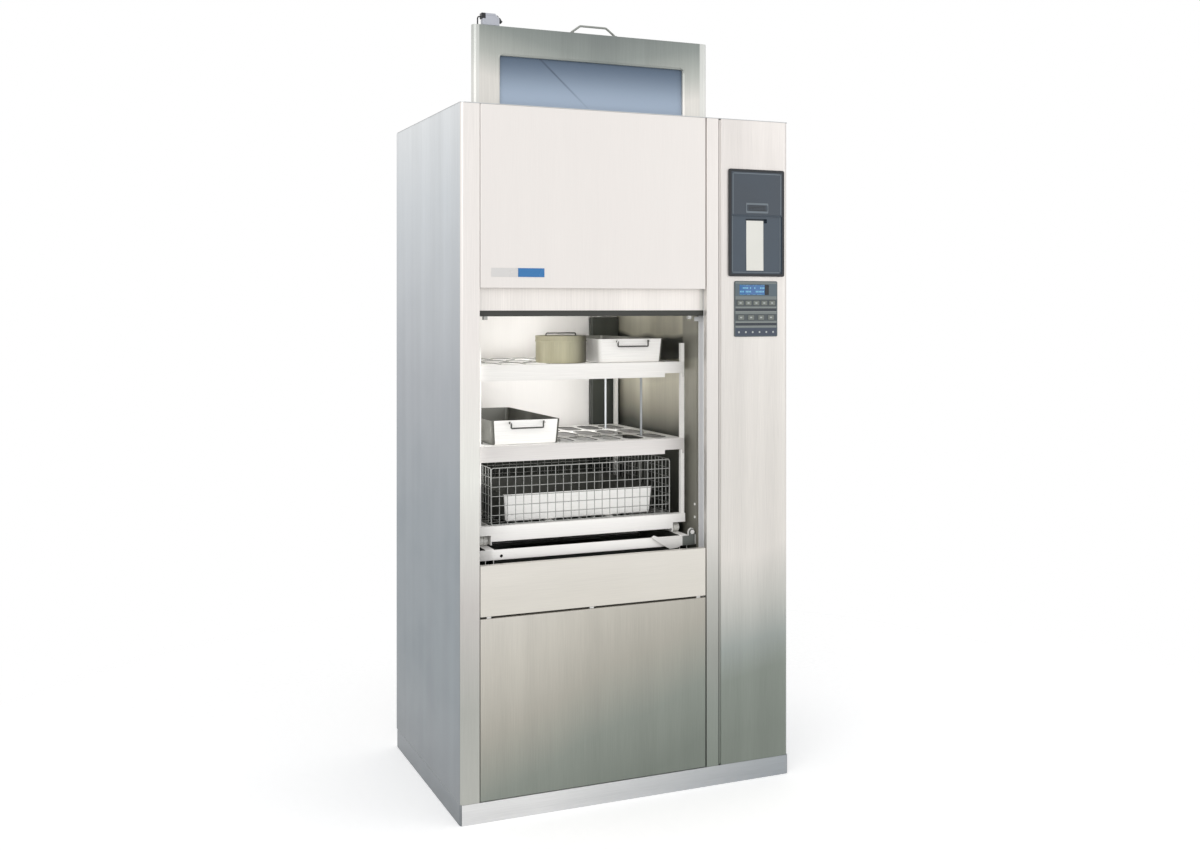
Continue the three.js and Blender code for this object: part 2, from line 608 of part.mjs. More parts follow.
// Circulation pump: suction neck up to the sump, scroll casing, finned motor and foot.
function makePump() {
  const z = pump.height;
  const neckTop = chamberUnder - sump.depth - sump.neck - fit;
  const motorLeft = middle + pump.thick / 2;
  const footTop = z - pump.motor + overrun;
  const footX = middle + pump.fromCentre;
  const casing = pinX(sumpMiddle, z, pump.casing, middle - pump.thick / 2, motorLeft, 16);
  const inlet = middle - pump.cap;
  const elbow = neckTop - pump.suction - pump.bend;
  const suction = wire([at(middle, sumpMiddle, neckTop), at(middle, sumpMiddle, elbow), at(inlet, sumpMiddle, elbow),
    at(inlet, sumpMiddle, z), at(middle, sumpMiddle, z)], pump.bend, pump.suction, 8, 3);
  const outlet = post(pumpOutX(), pumpOutY(), pump.discharge, z, z + pump.casing);
  const motor = pinX(sumpMiddle, z, pump.motor - pump.fin, motorLeft - overrun, motorLeft + pump.motorLength, 16);
  const pitch = pump.motorLength / (pump.fins + 1);
  const fins = Array.from({ length: pump.fins }, (_, i) => pinX(sumpMiddle, z, pump.motor,
    motorLeft + pitch * (i + 1) - pump.finThick / 2, motorLeft + pitch * (i + 1) + pump.finThick / 2, 16));
  const foot = block(footX, footX + pump.foot, sumpMiddle - pump.footWidth / 2, sumpMiddle + pump.footWidth / 2,
    skinBottom + frameRail.height + fit, footTop);
  return join(casing, suction, outlet, motor, ...fins, foot);
}

// Drying blower on the chamber's roof: a scroll with its outlet down into the chamber.
function makeDryer() {
  const bottom = chamber.ceiling + chamber.wall + fit;
  const z = bottom + dryer.radius + dryer.growth + overrun;
  const scrollOf = (inset) => polygon(Array.from({ length: dryer.steps + 1 }, (_, i) => {
    const share = i / dryer.steps;
    const turn = quarter * (dryer.turnShare * share - 1);
    const radius = dryer.radius + dryer.growth * (1 - share) - inset;
    return [middle + radius * Math.cos(turn), z + radius * Math.sin(turn)];
  }));
  const y0 = sumpMiddle - dryer.thick / 2;
  const y1 = sumpMiddle + dryer.thick / 2;
  const scroll = alongY(scrollOf(0), y0, y1);
  const air = alongY(scrollOf(dryer.wall), y0 + dryer.wall, y1 - dryer.wall);
  const neck = block(middle - dryer.neck / 2, middle + dryer.neck / 2, y0, y1, bottom, z);
  const motor = pinY(middle, z, dryer.motor, y1 - overrun, y1 + dryer.motorLength, 16);
  const inlet = pinY(middle, z, dryer.inlet, y0 - overrun, y0 + overrun, 16);
  const eye = pinY(middle, z, dryer.inlet - overrun, y0 - 2 * overrun, y0 + dryer.thick / 2, 16);
  return join(cut(join(scroll, neck, inlet), air, eye), motor);
}

function makeControlBox() {
  const x0 = rightPostRight + fit;
  const y0 = innerFront + angle.wall + lift.bracketDepth + run;
  const z0 = controlBox.bottom;
  const { wall, entry, entryIn } = controlBox;
  const hull = alongZ(rounded(x0, x0 + controlBox.width, y0, y0 + controlBox.depth, controlBox.corner),
    z0, z0 + controlBox.height);
  const inset = controlBox.lidInset;
  const lid = block(x0 + controlBox.width - wall, x0 + controlBox.width + controlBox.lid, y0 + inset,
    y0 + controlBox.depth - inset, z0 + inset, z0 + controlBox.height - inset);
  const inside = block(x0 + wall, x0 + controlBox.width - wall, y0 + wall, y0 + controlBox.depth - wall,
    z0 + wall, z0 + controlBox.height - wall);
  const cableEntry = block(x0 + entryIn, x0 + entryIn + entry, y0 + entryIn, y0 + entryIn + entry,
    z0 - overrun, z0 + overrun);
  return cut(join(hull, lid), inside, cableEntry);
}

// Door and what guides and lifts it.

// One door guide: a channel round the door's edge. side is -1 on the left and 1 on the right.
function makeGuide(side) {
  const web = side < 0 ? guideWebLeft : guideWebRight;
  const inward = -side;
  const span = (from, to) => [Math.min(from, to), Math.max(from, to)];
  const [w0, w1] = span(web, web + side * guide.sheet);
  const [f0, f1] = span(web, web + inward * guide.flange);
  const [c0, c1] = span(web, web + inward * (guide.flange + guide.carry));
  const { foot, top } = guide;
  const channel = join(
    block(w0, w1, frontBay, guideBack, foot, top),
    block(f0, f1, frontBay, frontBay + guide.sheet, foot, top),
    block(f0, f1, guideRear, guideBack, foot, top),
    block(c0, c1, frontBay, frontBay + guide.sheet, foot, opening.sill),
    block(c0, c1, frontBay, frontBay + guide.sheet, opening.lintel, top),
  );
  const [s0, s1] = span(web + inward * guide.flange, web + inward * (guide.flange + guide.stopWidth));
  const stopTop = doorBottom - guide.stopBelow;
  const stop = block(Math.min(s0, f0 + run), Math.max(s1, f1 - run), guideBack - guide.stopThick, guideBack,
    stopTop - guide.stopHeight, stopTop);
  const all = join(channel, stop);
  if (side < 0) return all;
  const mid = doorFront + door.thick / 2;
  const slot = block(w0 - overrun, w1 + overrun, mid - lug.thick / 2 - guide.slotPlay,
    mid + lug.thick / 2 + guide.slotPlay, door.closed + door.seal - guide.slotPlay,
    doorBottom + door.seal + lug.height + guide.slotPlay);
  return cut(all, slot);
}

// Rodless lifting cylinder beside the right guide, on two brackets.
function makeLift() {
  const x = rightPostRight + lift.fromPost + lift.bore;
  const y = doorFront + door.thick / 2 + lift.bore / 2;
  const tube = post(x, y, lift.bore, lift.foot, lift.top, 16);
  const ends = [lift.foot, lift.top - lift.bracket].map((z) => join(
    block(rightPostRight + fit, x + lift.bore + lift.cap, innerFront + angle.wall, innerFront + angle.wall
      + lift.bracketDepth, z, z + lift.bracket),
    block(x - lift.bore / 2, x + lift.bore + lift.cap, y - lift.bore, innerFront + angle.wall + overrun,
      z, z + lift.bracket),
  ));
  return join(tube, ...ends);
}

// Door pieces stand in the door's own group: x from its left edge, y from its face, z from the seal.
function makeDoorFrame() {
  const { stile, thick, height, seal, windowHeight } = door;
  const z0 = seal + fit;
  const z1 = seal + height;
  const windowTop = z1 - door.topRail;
  const windowBottom = windowTop - windowHeight;
  const leaf = alongZ(rounded(0, doorWidth, 0, thick, door.edge, 4), z0, z1);
  const hole = (grow, corner) => rounded(stile - grow, doorWidth - stile + grow, windowBottom - grow,
    windowTop + grow, corner);
  const bevelCut = solid(new THREE.ExtrudeGeometry(hole(0, door.windowCorner), {
    depth: overrun, bevelThickness: door.bevelDepth, bevelSize: door.bevel, bevelSegments: 1,
  }).rotateX(quarter));
  const rebate = alongY(hole(glass.lap + fit, door.windowCorner), glass.setBack, thick + overrun);
  const light = alongY(hole(0, door.windowCorner), -overrun, thick + overrun);
  const arm0 = doorWidth - door.edge;
  const lugBlock = join(
    block(arm0, doorWidth + lug.reach, (thick - lug.thick) / 2, (thick + lug.thick) / 2, z0, z0 + lug.height),
    block(doorWidth + lug.reach - lug.gusset / 2, doorWidth + lug.reach, (thick - lug.thick) / 2 - guide.slotPlay,
      (thick + lug.thick) / 2 + guide.slotPlay, z0 + guide.slotPlay, z0 + lug.height - guide.slotPlay),
  );
  return join(cut(leaf, bevelCut, rebate, light), lugBlock);
}

function makeGlass() {
  const z1 = door.seal + door.height - door.topRail + glass.lap;
  const z0 = z1 - door.windowHeight - 2 * glass.lap;
  return alongY(rounded(door.stile - glass.lap, doorWidth - door.stile + glass.lap, z0, z1, door.windowCorner),
    glass.setBack + fit, glass.setBack + fit + glass.thick);
}

function makeSeal() {
  const inset = door.sealInset;
  const outline = rounded(inset, door.thick - inset, 0, door.seal + edge, edge);
  return cut(alongX(outline, inset, doorWidth - inset), block(-overrun, doorWidth + overrun,
    -overrun, door.thick + overrun, door.seal, door.seal + edge + overrun));
}

function makeBail() {
  const z0 = door.seal + door.height + fit;
  const y = door.thick / 2;
  const x0 = bail.fromLeft;
  const x1 = x0 + bail.foot;
  const inset = (bail.foot - bail.top) / 2;
  const top = z0 + bail.rise - bail.wire;
  const low = z0 + bail.wire;
  const loop = wire([at(x0 + bail.wire, y, low), at(x0 + inset, y, top), at(x1 - inset, y, top),
    at(x1 - bail.wire, y, low)], bail.bend, bail.wire, 6, 3);
  const pads = [x0, x1].map((x) => block(x - bail.pad / 2, x + bail.pad / 2, y - bail.pad / 2, y + bail.pad / 2,
    z0, z0 + bail.padThick));
  return join(loop, ...pads);
}

function makeSensor() {
  const z0 = door.seal + door.height + fit;
  const x0 = sensor.fromLeft;
  const x1 = x0 + sensor.length;
  const y0 = sensor.inFront;
  const y1 = y0 + sensor.depth;
  const mid = z0 + sensor.height - sensor.plug - sensor.corner;
  return join(
    alongY(rounded(x0, x1, z0, z0 + sensor.height, sensor.corner), y0, y1),
    pinX((y0 + y1) / 2, mid, sensor.plug, x1 - overrun, x1 + sensor.plugLength, 10),
  );
}

// The lead leaves the sensor box, loops over the door's top edge and enters its back.
function leadPath() {
  const x = sensor.fromLeft - 2 * fit;
  const y = sensor.inFront + sensor.depth / 2;
  const z0 = door.seal + door.height;
  const z = z0 + sensor.height - lead.out;
  const back = door.thick + fit + lead.radius;
  return new THREE.CatmullRomCurve3([
    at(x, y, z), at(x - lead.out / 2, y, z), at(x - lead.out, y + lead.out / 2, z + lead.radius),
    at(x - lead.out, (y + back) / 2, z), at(x - lead.out / 2, back, z0 + lead.rise / 2),
    at(x - lead.out / 2, back, z0 - lead.rise), at(x - lead.out / 2, back, z0 - lead.drop),
  ]);
}

function makeLead() {
  const path = leadPath();
  const steps = 18;
  const pieces = new THREE.CurvePath();
  for (let i = 0; i < steps; i += 1) {
    pieces.add(new THREE.LineCurve3(path.getPointAt(i / steps), path.getPointAt((i + 1) / steps)));
  }
  const x = sensor.fromLeft - fit - lead.out / 2;
  const z = door.seal + door.height - lead.drop;
  const gland = pinY(x, z, lead.gland, door.thick + fit, door.thick + fit + lead.glandLength, 8);
  return join(swept(pieces, lead.radius, 6, 1), gland);
}

// Rack rails and latch.

// Two rails on the chamber floor, tied by the sill bar, the feed bar and a rear tie.
function makeRailFrame() {
  const z0 = chamber.floor + fit;
  const centre = rackRail / 2 + roller.outset + roller.width / 2;
  const front = chamberFront + rail.sillFrom;
  const barBack = front + rail.sillThick;
  const tieBack = rack.fromFront + rackDepth - rail.short;
  const rails = [-1, 1].map((side) => {
    const x0 = middle + side * centre - rail.width / 2;
    const x1 = x0 + rail.width;
    return cut(block(x0, x1, barBack - sheet, tieBack, z0, railTop),
      block(x0 + rail.wall, x1 - rail.wall, -overrun, tieBack + overrun, z0 - overrun,
        railTop - rail.wall));
  });
  const sill = block(chamberLeft + fit, chamberRight - fit, front, barBack, chamber.floor + rail.sillBottom,
    chamber.floor + rail.sillBottom + rail.sillHeight);
  const hole = pinY(chamberLeft + rail.holeFrom, chamber.floor + rail.sillBottom + 2 * rail.hole + fit, rail.hole,
    front - overrun, barBack + overrun, 8);
  const reach = centre;
  const tie = block(middle - reach, middle + reach, tieBack - rail.tie, tieBack, z0, z0 + rail.tieHeight);
  const feed = block(middle - reach, middle + reach, rackMiddle - rail.feedWidth / 2,
    rackMiddle + rail.feedWidth / 2, z0, z0 + rail.feedHeight);
  const pinTop = chamber.floor + armBelow + arm.thick + arm.washerThick + fit;
  const pin = join(post(middle, rackMiddle, arm.pin, z0, pinTop),
    post(middle, rackMiddle, arm.washer, pinTop - arm.washerThick + fit, pinTop + fit, 8),
    post(middle, rackMiddle, arm.washer, z0, chamber.floor + armBelow - arm.play, 8));
  const lever = latchPivot();
  const ear = alongY(rounded(lever.x - latch.lug, lever.x + latch.lug, chamber.floor + rail.sillBottom
    + rail.sillHeight - latch.lug, lever.z + latch.lug, latch.lug, 3), front, barBack);
  const head = latch.front - latch.headThick - fit;
  const bolt = join(pinY(lever.x, lever.z, latch.pin, head, front + sheet),
    pinY(lever.x, lever.z, latch.pinHead, head, latch.front - fit, 6),
    pinY(lever.x, lever.z, latch.pinHead, latch.front + latch.thick + fit, front + sheet, 6));
  return cut(join(...rails, sill, tie, feed, pin, ear, bolt), hole);
}

const latchPivot = () => ({ x: chamberRight - latch.fromWall, z: chamber.floor + latch.above });

// Flat lever with an eye round the bolt, a straight bar, a hooked tip and a rounded belly.
function makeLatch() {
  const { x, z } = latchPivot();
  const base = chamber.floor + rail.sillBottom;
  const bar = chamber.floor + latch.barTop;
  const outline = new THREE.Shape();
  outline.moveTo(x + latch.boss, z);
  outline.absarc(x, z, latch.boss, 0, 2 * quarter, false);
  outline.lineTo(x - latch.boss, bar);
  outline.lineTo(x - latch.barEnd, bar);
  outline.quadraticCurveTo(x - latch.barEnd - latch.hook, bar, x - latch.tip + latch.hook,
    chamber.floor + latch.tipTop);
  outline.lineTo(x - latch.tip, chamber.floor + latch.tipTop - latch.hook / 2);
  outline.quadraticCurveTo(x - latch.barEnd - latch.hook, base + latch.hook, x - latch.bellyLeft,
    base - latch.bellyBottom);
  outline.quadraticCurveTo(x - latch.blockWidth - latch.boss, base - latch.bellyBottom,
    x - latch.blockWidth - latch.boss / 2, base);
  outline.lineTo(x + latch.boss, base);
  const plate = alongY(outline, latch.front, latch.front + latch.thick, 4);
  return cut(plate, pinY(x, z, latch.pin + arm.play, latch.front - overrun, latch.front + latch.thick + overrun));
}

// Rack. Its group: x from the rack's middle, y from its front, z from the rails.

function makeRackFrame() {
  const half = rackRail / 2;
  const top = rack.lift + rack.railHeight;
  const earBottom = top - rack.earHeight;
  const earX = half + rack.ear;
  const face = polygon([
    [-earX, earBottom], [-half, earBottom], [-half, rack.lift], [half, rack.lift], [half, earBottom],
    [earX, earBottom], [earX, top], [-earX, top],
  ]);
  const front = alongY(face, 0, rack.sheet);
  const rear = alongY(face, rackDepth - rack.sheet, rackDepth);
  const ledge = [[0, rack.crossBar], [rackDepth - rack.crossBar, rackDepth]].map(([y0, y1]) => (
    block(-earX, earX, y0, y1, top - rack.sheet, top)));
  const plates = [-1, 1].map((side) => {
    const x0 = side < 0 ? -half : half - rack.sidePlate;
    const plate = block(x0, x0 + rack.sidePlate, 0, rackDepth, roller.radius - rack.plateDrop, top);
    return cut(plate, ...axlePlaces().map((y) => pinX(y, roller.radius, roller.axle + fit, -earX, earX)));
  });
  const bars = [-1, 1].map((side) => block(side * half / 3 - rack.crossBar / 2, side * half / 3 + rack.crossBar / 2,
    0, rackDepth, top - rack.sheet, top));
  const uprights = [-1, 1].flatMap((side) => [rack.sheet + fit, rackDepth - rack.sheet - fit - rack.upright]
    .map((y) => {
      const outer = rackWidth / 2 + rack.uprightOut;
      const x0 = side < 0 ? -outer : outer - rack.upright;
      return block(x0, x0 + rack.upright, y, y + rack.upright, earBottom, rack.uprightTop);
    }));
  const corners = [-1, 1].flatMap((side) => [0, rackDepth - rack.upright - rack.sheet].map((y) => {
    const outer = rackWidth / 2 + rack.uprightOut;
    const x0 = side < 0 ? -outer : outer - rack.upright;
    return block(x0, x0 + rack.upright, y, y + rack.upright + rack.sheet, earBottom, top);
  }));
  return join(front, rear, ...ledge, ...plates, ...bars, ...uprights, ...corners);
}

const axlePlaces = () => [roller.fromFront, rackDepth - roller.fromBack];

// Axle with a grooved roller on each end, round its own middle.
function makeWheelset() {
  const inner = rackRail / 2 + roller.outset;
  const outer = inner + roller.width;
  const { radius, groove, hub, axle } = roller;
  const profile = [[0, -outer - run], [hub, -outer - run], [radius - groove, -outer],
    [radius, -outer + groove], [radius, -inner - groove], [radius - groove, -inner], [axle, -inner + run]];
  const mirrored = profile.map(([r, h]) => [r, -h]).reverse();
  const geometry = new THREE.LatheGeometry([...profile, ...mirrored].map(([r, h]) => new THREE.Vector2(r, h)), 12);
  return solid(geometry.rotateZ(-quarter));
}

// A shelf: deck with rows of round-ended openings, rails turned down all round, and the stub and
// washer that carry the spray arm below it. Its top is at z = 0.
function makeShelf(withRods) {
  const half = rackWidth / 2;
  const { sheet: t, rail: drop, margin, strip, columns, rows } = shelf;
  const y1 = rackDepth;
  const deck = block(-half, half, 0, y1, -t, 0);
  const skirt = [
    block(-half, half, 0, t, -drop, 0),
    block(-half, half, y1 - t, y1, -drop, 0),
    block(-half, -half + t, t, y1 - t, -drop + shelf.flange, 0),
    block(half - t, half, t, y1 - t, -drop + shelf.flange, 0),
  ];
  const pitchX = (rackWidth - 2 * margin) / columns;
  const pitchY = (rackDepth - 2 * margin) / rows;
  const windows = [];
  for (let column = 0; column < columns; column += 1) {
    for (let row = 0; row < rows; row += 1) {
      const x = -half + margin + column * pitchX;
      const y = margin + row * pitchY;
      windows.push(alongZ(rounded(x + strip / 2, x + pitchX - strip / 2, y + strip / 2, y + pitchY - strip / 2,
        (pitchX - strip) / 2), -t - overrun, overrun));
    }
  }
  const outer = half + rack.uprightOut;
  const notches = [-1, 1].flatMap((side) => [0, 1].map((end) => {
    const x0 = side < 0 ? -outer - fit : outer - rack.upright - fit;
    const y0 = end ? y1 - rack.sheet - rack.upright - 2 * fit : rack.sheet;
    return block(x0, x0 + rack.upright + 2 * fit, y0, y0 + rack.upright + 2 * fit, -drop - overrun, overrun);
  }));
  const railCut = alongY(rounded(half - shelf.notchFrom - shelf.notch, half - shelf.notchFrom, -drop - overrun,
    -drop + shelf.notchHeight, edge), -overrun, t + overrun);
  const armTop = -t - arm.fromDeck;
  const stubLow = armTop - arm.thick - arm.play - arm.washerThick;
  const stub = join(post(0, rackDepth / 2, arm.pin, stubLow, -t / 2),
    post(0, rackDepth / 2, arm.washer, stubLow, stubLow + arm.washerThick, 8),
    post(0, rackDepth / 2, arm.washer, armTop + arm.play, -t / 2, 8));
  const pieces = [stub];
  if (withRods) {
    const low = shelf.middle - shelf.upper + fit;
    const rodX = [shelfRod.bay * pitchX, shelfRod.inset - half];
    rodX.forEach((x) => [shelfRod.front, y1 - shelfRod.back].forEach((y) => {
      pieces.push(post(x, y, shelfRod.radius, low, -t / 2, 8));
    }));
  }
  return join(cut(join(deck, ...skirt), ...windows, ...notches, railCut), ...pieces);
}

// Spray arm round its own hub: two tapered blades with a row of jets on top.
function makeArm() {
  const blade = polygon([
    [-arm.reach, -arm.width / 2 * arm.tipScale], [0, -arm.width / 2], [arm.reach, -arm.width / 2 * arm.tipScale],
    [arm.reach, arm.width / 2 * arm.tipScale], [0, arm.width / 2], [-arm.reach, arm.width / 2 * arm.tipScale],
  ]);
  const jets = [-1, 1].flatMap((side) => Array.from({ length: arm.jets }, (_, i) => {
    const x = side * (arm.hub + (i + 1) * (arm.reach - arm.hub) / (arm.jets + 1));
    return post(x, 0, arm.jet, arm.thick - arm.jet, arm.thick + overrun, 4);
  }));
  return cut(join(alongZ(blade, arm.jet / 2, arm.thick), post(0, 0, arm.hub, 0, arm.thick)), ...jets,
    post(0, 0, arm.pin + arm.play, -overrun, arm.thick + overrun));
}

// Load.

// An open tray with drawn-in walls, a turned rim and ears for its drop handle. x from its middle.
function makeTray() {
  const { width, height, taper, wall, corner, rim, rimThick } = tray;
  const depth = trayDepth;
  const y = depth / 2;
  const outer = loft([ringAt(0, y, 0, width - 2 * taper, depth - 2 * taper, corner),
    ringAt(0, y, height, width - 2 * rim, depth - 2 * rim, corner)]);
  const inner = loft([ringAt(0, y, wall, width - 2 * taper - 2 * wall, depth - 2 * taper - 2 * wall, corner - wall),
    ringAt(0, y, height + overrun, width - 2 * rim - 2 * wall, depth - 2 * rim - 2 * wall, corner - wall)]);
  const lip = alongZ(rounded(-width / 2, width / 2, 0, depth, corner), height - rimThick, height);
  const { ear, earWall, out } = dropHandle;
  const eye = handleEye();
  const ears = [-1, 1].map((side) => {
    const x0 = side * (dropHandle.width / 2 + fit) + (side < 0 ? -earWall : 0);
    return cut(block(x0, x0 + earWall, -out - ear, rim + wall, eye - ear, height - rimThick / 2),
      pinX(-out, eye, dropHandle.wire + fit, x0 - overrun, x0 + earWall + overrun, 8));
  });
  const bridge = block(-dropHandle.width / 2 - fit - earWall, dropHandle.width / 2 + fit + earWall,
    -fit, rim, height - rimThick, height);
  return cut(join(outer, lip, bridge, ...ears), inner);
}

const handleEye = () => tray.height - dropHandle.earBelow - dropHandle.wire;

// The handle hangs round its pivot line.
function makeDropHandle() {
  const { width, drop, wire: radius, earWall, bend } = dropHandle;
  const tipX = width / 2 + fit + earWall + run;
  const inX = width / 2 - radius - fit;
  return wire([at(-tipX, 0, 0), at(-inX, 0, 0), at(-inX, 0, -drop), at(inX, 0, -drop), at(inX, 0, 0),
    at(tipX, 0, 0)], bend / 2, radius, 6, 2);
}

// A round lidded drum with a wire handle across its lid.
function makeDrum() {
  const { radius: r, height: h, bead, lid, foot, ease } = drum;
  const half = drumHandle.width / 2;
  const profile = [[0, 0], [r - ease, 0], [r - bead, foot], [r - bead, h - lid - bead], [r, h - lid],
    [r, h - ease], [r - ease, h], [0, h]];
  const inner = [[0, drum.wall], [r - bead - drum.wall, drum.wall], [r - bead - drum.wall, h - drum.wall], [0, h - drum.wall]];
  const vent = post(-half / 2, 0, drum.vent, h - lid, h + overrun, 8);
  const shell = cut(turned(profile, 20), turned(inner, 20), vent);
  const top = h + drumHandle.rise;
  const handle = wire([at(-half, 0, h - ease), at(-half, 0, top), at(half, 0, top), at(half, 0, h - ease)],
    drumHandle.bend, drumHandle.wire, 6, 2);
  return join(shell, handle);
}

// A flat grid of wires, as one plate with square gaps. The extruder says which way it faces.
function grid(extruder, width, height, pitch, from = 0) {
  const { wire: w } = basket;
  const columns = Math.floor((width - w) / pitch);
  const rows = Math.floor((height - w) / pitch);
  const stepX = (width - w) / columns;
  const stepY = (height - w) / rows;
  const gaps = [];
  for (let i = 0; i < columns; i += 1) {
    for (let j = 0; j < rows; j += 1) {
      const x = w + i * stepX;
      const y = w + j * stepY;
      const gap = polygon([[x, y], [x + stepX - w, y], [x + stepX - w, y + stepY - w], [x, y + stepY - w]]);
      gaps.push(extruder(gap, from - overrun, from + w + overrun));
    }
  }
  return cut(extruder(rounded(0, width, 0, height, w), from, from + w), ...gaps);
}

function addBasket(parent) {
  const { height, wire: w, pitch, coarse } = basket;
  const width = basketWidth;
  const depth = basketDepth;
  const bottom = rack.lift + rack.railHeight + fit;
  const group = new THREE.Group();
  group.position.set(-width / 2, basket.fromFront, bottom);
  parent.add(group);
  const inset = w + fit;
  const wide = pitch * coarse;
  const wider = wide + pitch;
  place(group, 'basket_front', grid(alongY, width, height, pitch), 'bright');
  place(group, 'basket_rear', grid(alongY, width, height, wide, depth - w), 'bright');
  const side = grid(alongX, depth - 2 * inset, height - inset, wide);
  place(group, 'basket_left', side, 'bright', [0, inset, inset]);
  place(group, 'basket_right', side, 'bright', [width - w, inset, inset]);
  place(group, 'basket_floor', grid(alongZ, width, depth - 2 * inset, wider), 'bright', [0, inset, 0]);
  const tub = {
    ...innerTray, width: width - 2 * innerTray.sidePlay, depth: depth - innerTray.fromFront - innerTray.fromBack,
  };
  const y = tub.depth / 2;
  const tubShape = cut(
    loft([ringAt(0, y, 0, tub.width - 2 * tub.taper, tub.depth - 2 * tub.taper, tub.corner),
      ringAt(0, y, tub.height, tub.width, tub.depth, tub.corner)]),
    loft([ringAt(0, y, tub.wall, tub.width - 2 * tub.taper - 2 * tub.wall,
      tub.depth - 2 * tub.taper - 2 * tub.wall, tub.corner - tub.wall),
    ringAt(0, y, tub.height + overrun, tub.width - 2 * tub.wall, tub.depth - 2 * tub.wall, tub.corner - tub.wall)]),
  );
  place(group, 'inner_tray', tubShape, 'bright', [width / 2, tub.fromFront, w + fit]);
}

// Control column.

// Printer pieces stand in the column's group: x from the column's left edge, y from its face.
function makeBezel() {
  const { left, width, bottom, height, proud, rim, corner, body: deep, bodyInset: inset } = printer;
  const x1 = left + width;
  const z1 = bottom + height;
  const face = alongY(rounded(left, x1, bottom, z1, corner), -proud, -fit);
  const hull = block(left + inset, x1 - inset, -fit - run, deep, bottom + inset, z1 - inset);
  const coverTop = z1 - rim;
  const coverLow = coverTop - printer.coverHeight;
  const coverPocket = block(left + rim, x1 - rim, -proud - overrun, -proud + printer.cover + fit, coverLow, coverTop);
  const cave = printer.cavityInset;
  const cavity = block(left + rim + cave, x1 - rim - cave, -proud, printer.cavity, coverLow + cave, coverTop - cave);
  const lowerTop = coverLow - printer.seam;
  const recess = block(left + rim, x1 - rim, -proud - overrun, -proud + printer.recess, bottom + rim, lowerTop);
  const middleX = (left + x1) / 2;
  const slot = block(middleX - printer.slotWidth / 2, middleX + printer.slotWidth / 2, -proud, printer.slotDepth
    - proud, lowerTop - printer.slotUp - printer.slotHeight, lowerTop - printer.slotUp);
  return cut(join(face, hull), coverPocket, cavity, recess, slot);
}

// The cover hangs from its top front edge.
function makeCover() {
  const { width, rim, coverHeight, cover } = printer;
  const half = width / 2 - rim - fit;
  const low = -coverHeight + 2 * fit;
  const leaf = block(-half, half, 0, cover, low, 0);
  const latchLow = low + printer.latchUp;
  const plate = alongY(rounded(-printer.latchWidth / 2, printer.latchWidth / 2, latchLow,
    latchLow + printer.latchHeight, edge), -printer.latchThick + fit, cover / 2);
  const grip = alongY(rounded(-printer.latchWidth / 2 + edge, printer.latchWidth / 2 - edge,
    latchLow + 2 * edge, latchLow + printer.latchHeight - 2 * edge, edge), -overrun, 0);
  return cut(join(leaf, plate), grip);
}

function makePaper() {
  const { width, length, thick, curl, tuck } = paper;
  const slotZ = printer.bottom + printer.height - printer.rim - printer.coverHeight - printer.seam - printer.slotUp;
  const top = slotZ - printer.slotHeight / 2;
  const floor = -printer.proud + printer.recess;
  const face = floor - fit - thick;
  const steps = 8;
  const front = [];
  const back = [];
  for (let i = 0; i <= steps; i += 1) {
    const down = i / steps;
    const y = face - curl * (down ** 3) * fit;
    front.push([y, top - paper.below - down * (length - paper.below)]);
    back.push([y + thick, top - paper.below - down * (length - paper.below)]);
  }
  const outline = polygon([[face + tuck, top], [face + tuck, top + thick], [face, top + thick], ...front,
    ...back.reverse(), [face + thick, top]]);
  const middleX = printer.left + printer.width / 2 + paper.offset;
  return alongX(outline, middleX - width / 2, middleX + width / 2);
}

function makePad() {
  const { left, width, bottom, height, proud, behind, corner } = pad;
  const face = alongY(rounded(left, left + width, bottom, bottom + height, corner), -proud, -fit);
  const hull = block(left + behind, left + width - behind, -fit - run / 2, behind, bottom + behind,
    bottom + height - behind);
  const lcd = alongY(rounded(left + pad.lcdLeft, left + pad.lcdLeft + pad.lcdWidth, bottom + pad.lcdBottom,
    bottom + pad.lcdBottom + pad.lcdHeight, pad.corners), -proud - overrun, -proud + pad.lcdDepth);
  const wells = keyPlaces().map(({ x, z }) => alongY(rounded(x - key.width / 2 - fit, x + key.width / 2 + fit,
    z - key.height / 2 - fit, z + key.height / 2 + fit, key.corner + fit, 1), -proud - overrun, keyBack() + key.travel + fit));
  return cut(join(face, hull), lcd, ...wells);
}

const keyFront = () => -pad.proud - key.proud;
const keyBack = () => keyFront() + key.thick;

function keyPlaces() {
  return keyRows.flatMap(({ count, first, pitch, height }, row) => Array.from({ length: count }, (_, i) => ({
    name: `key_${row + 1}_${i + 1}`,
    x: pad.left + first + i * pitch,
    z: pad.bottom + height,
  })));
}

function makeKey() {
  return alongY(rounded(-key.width / 2, key.width / 2, -key.height / 2, key.height / 2, key.corner, 1),
    0, key.thick);
}

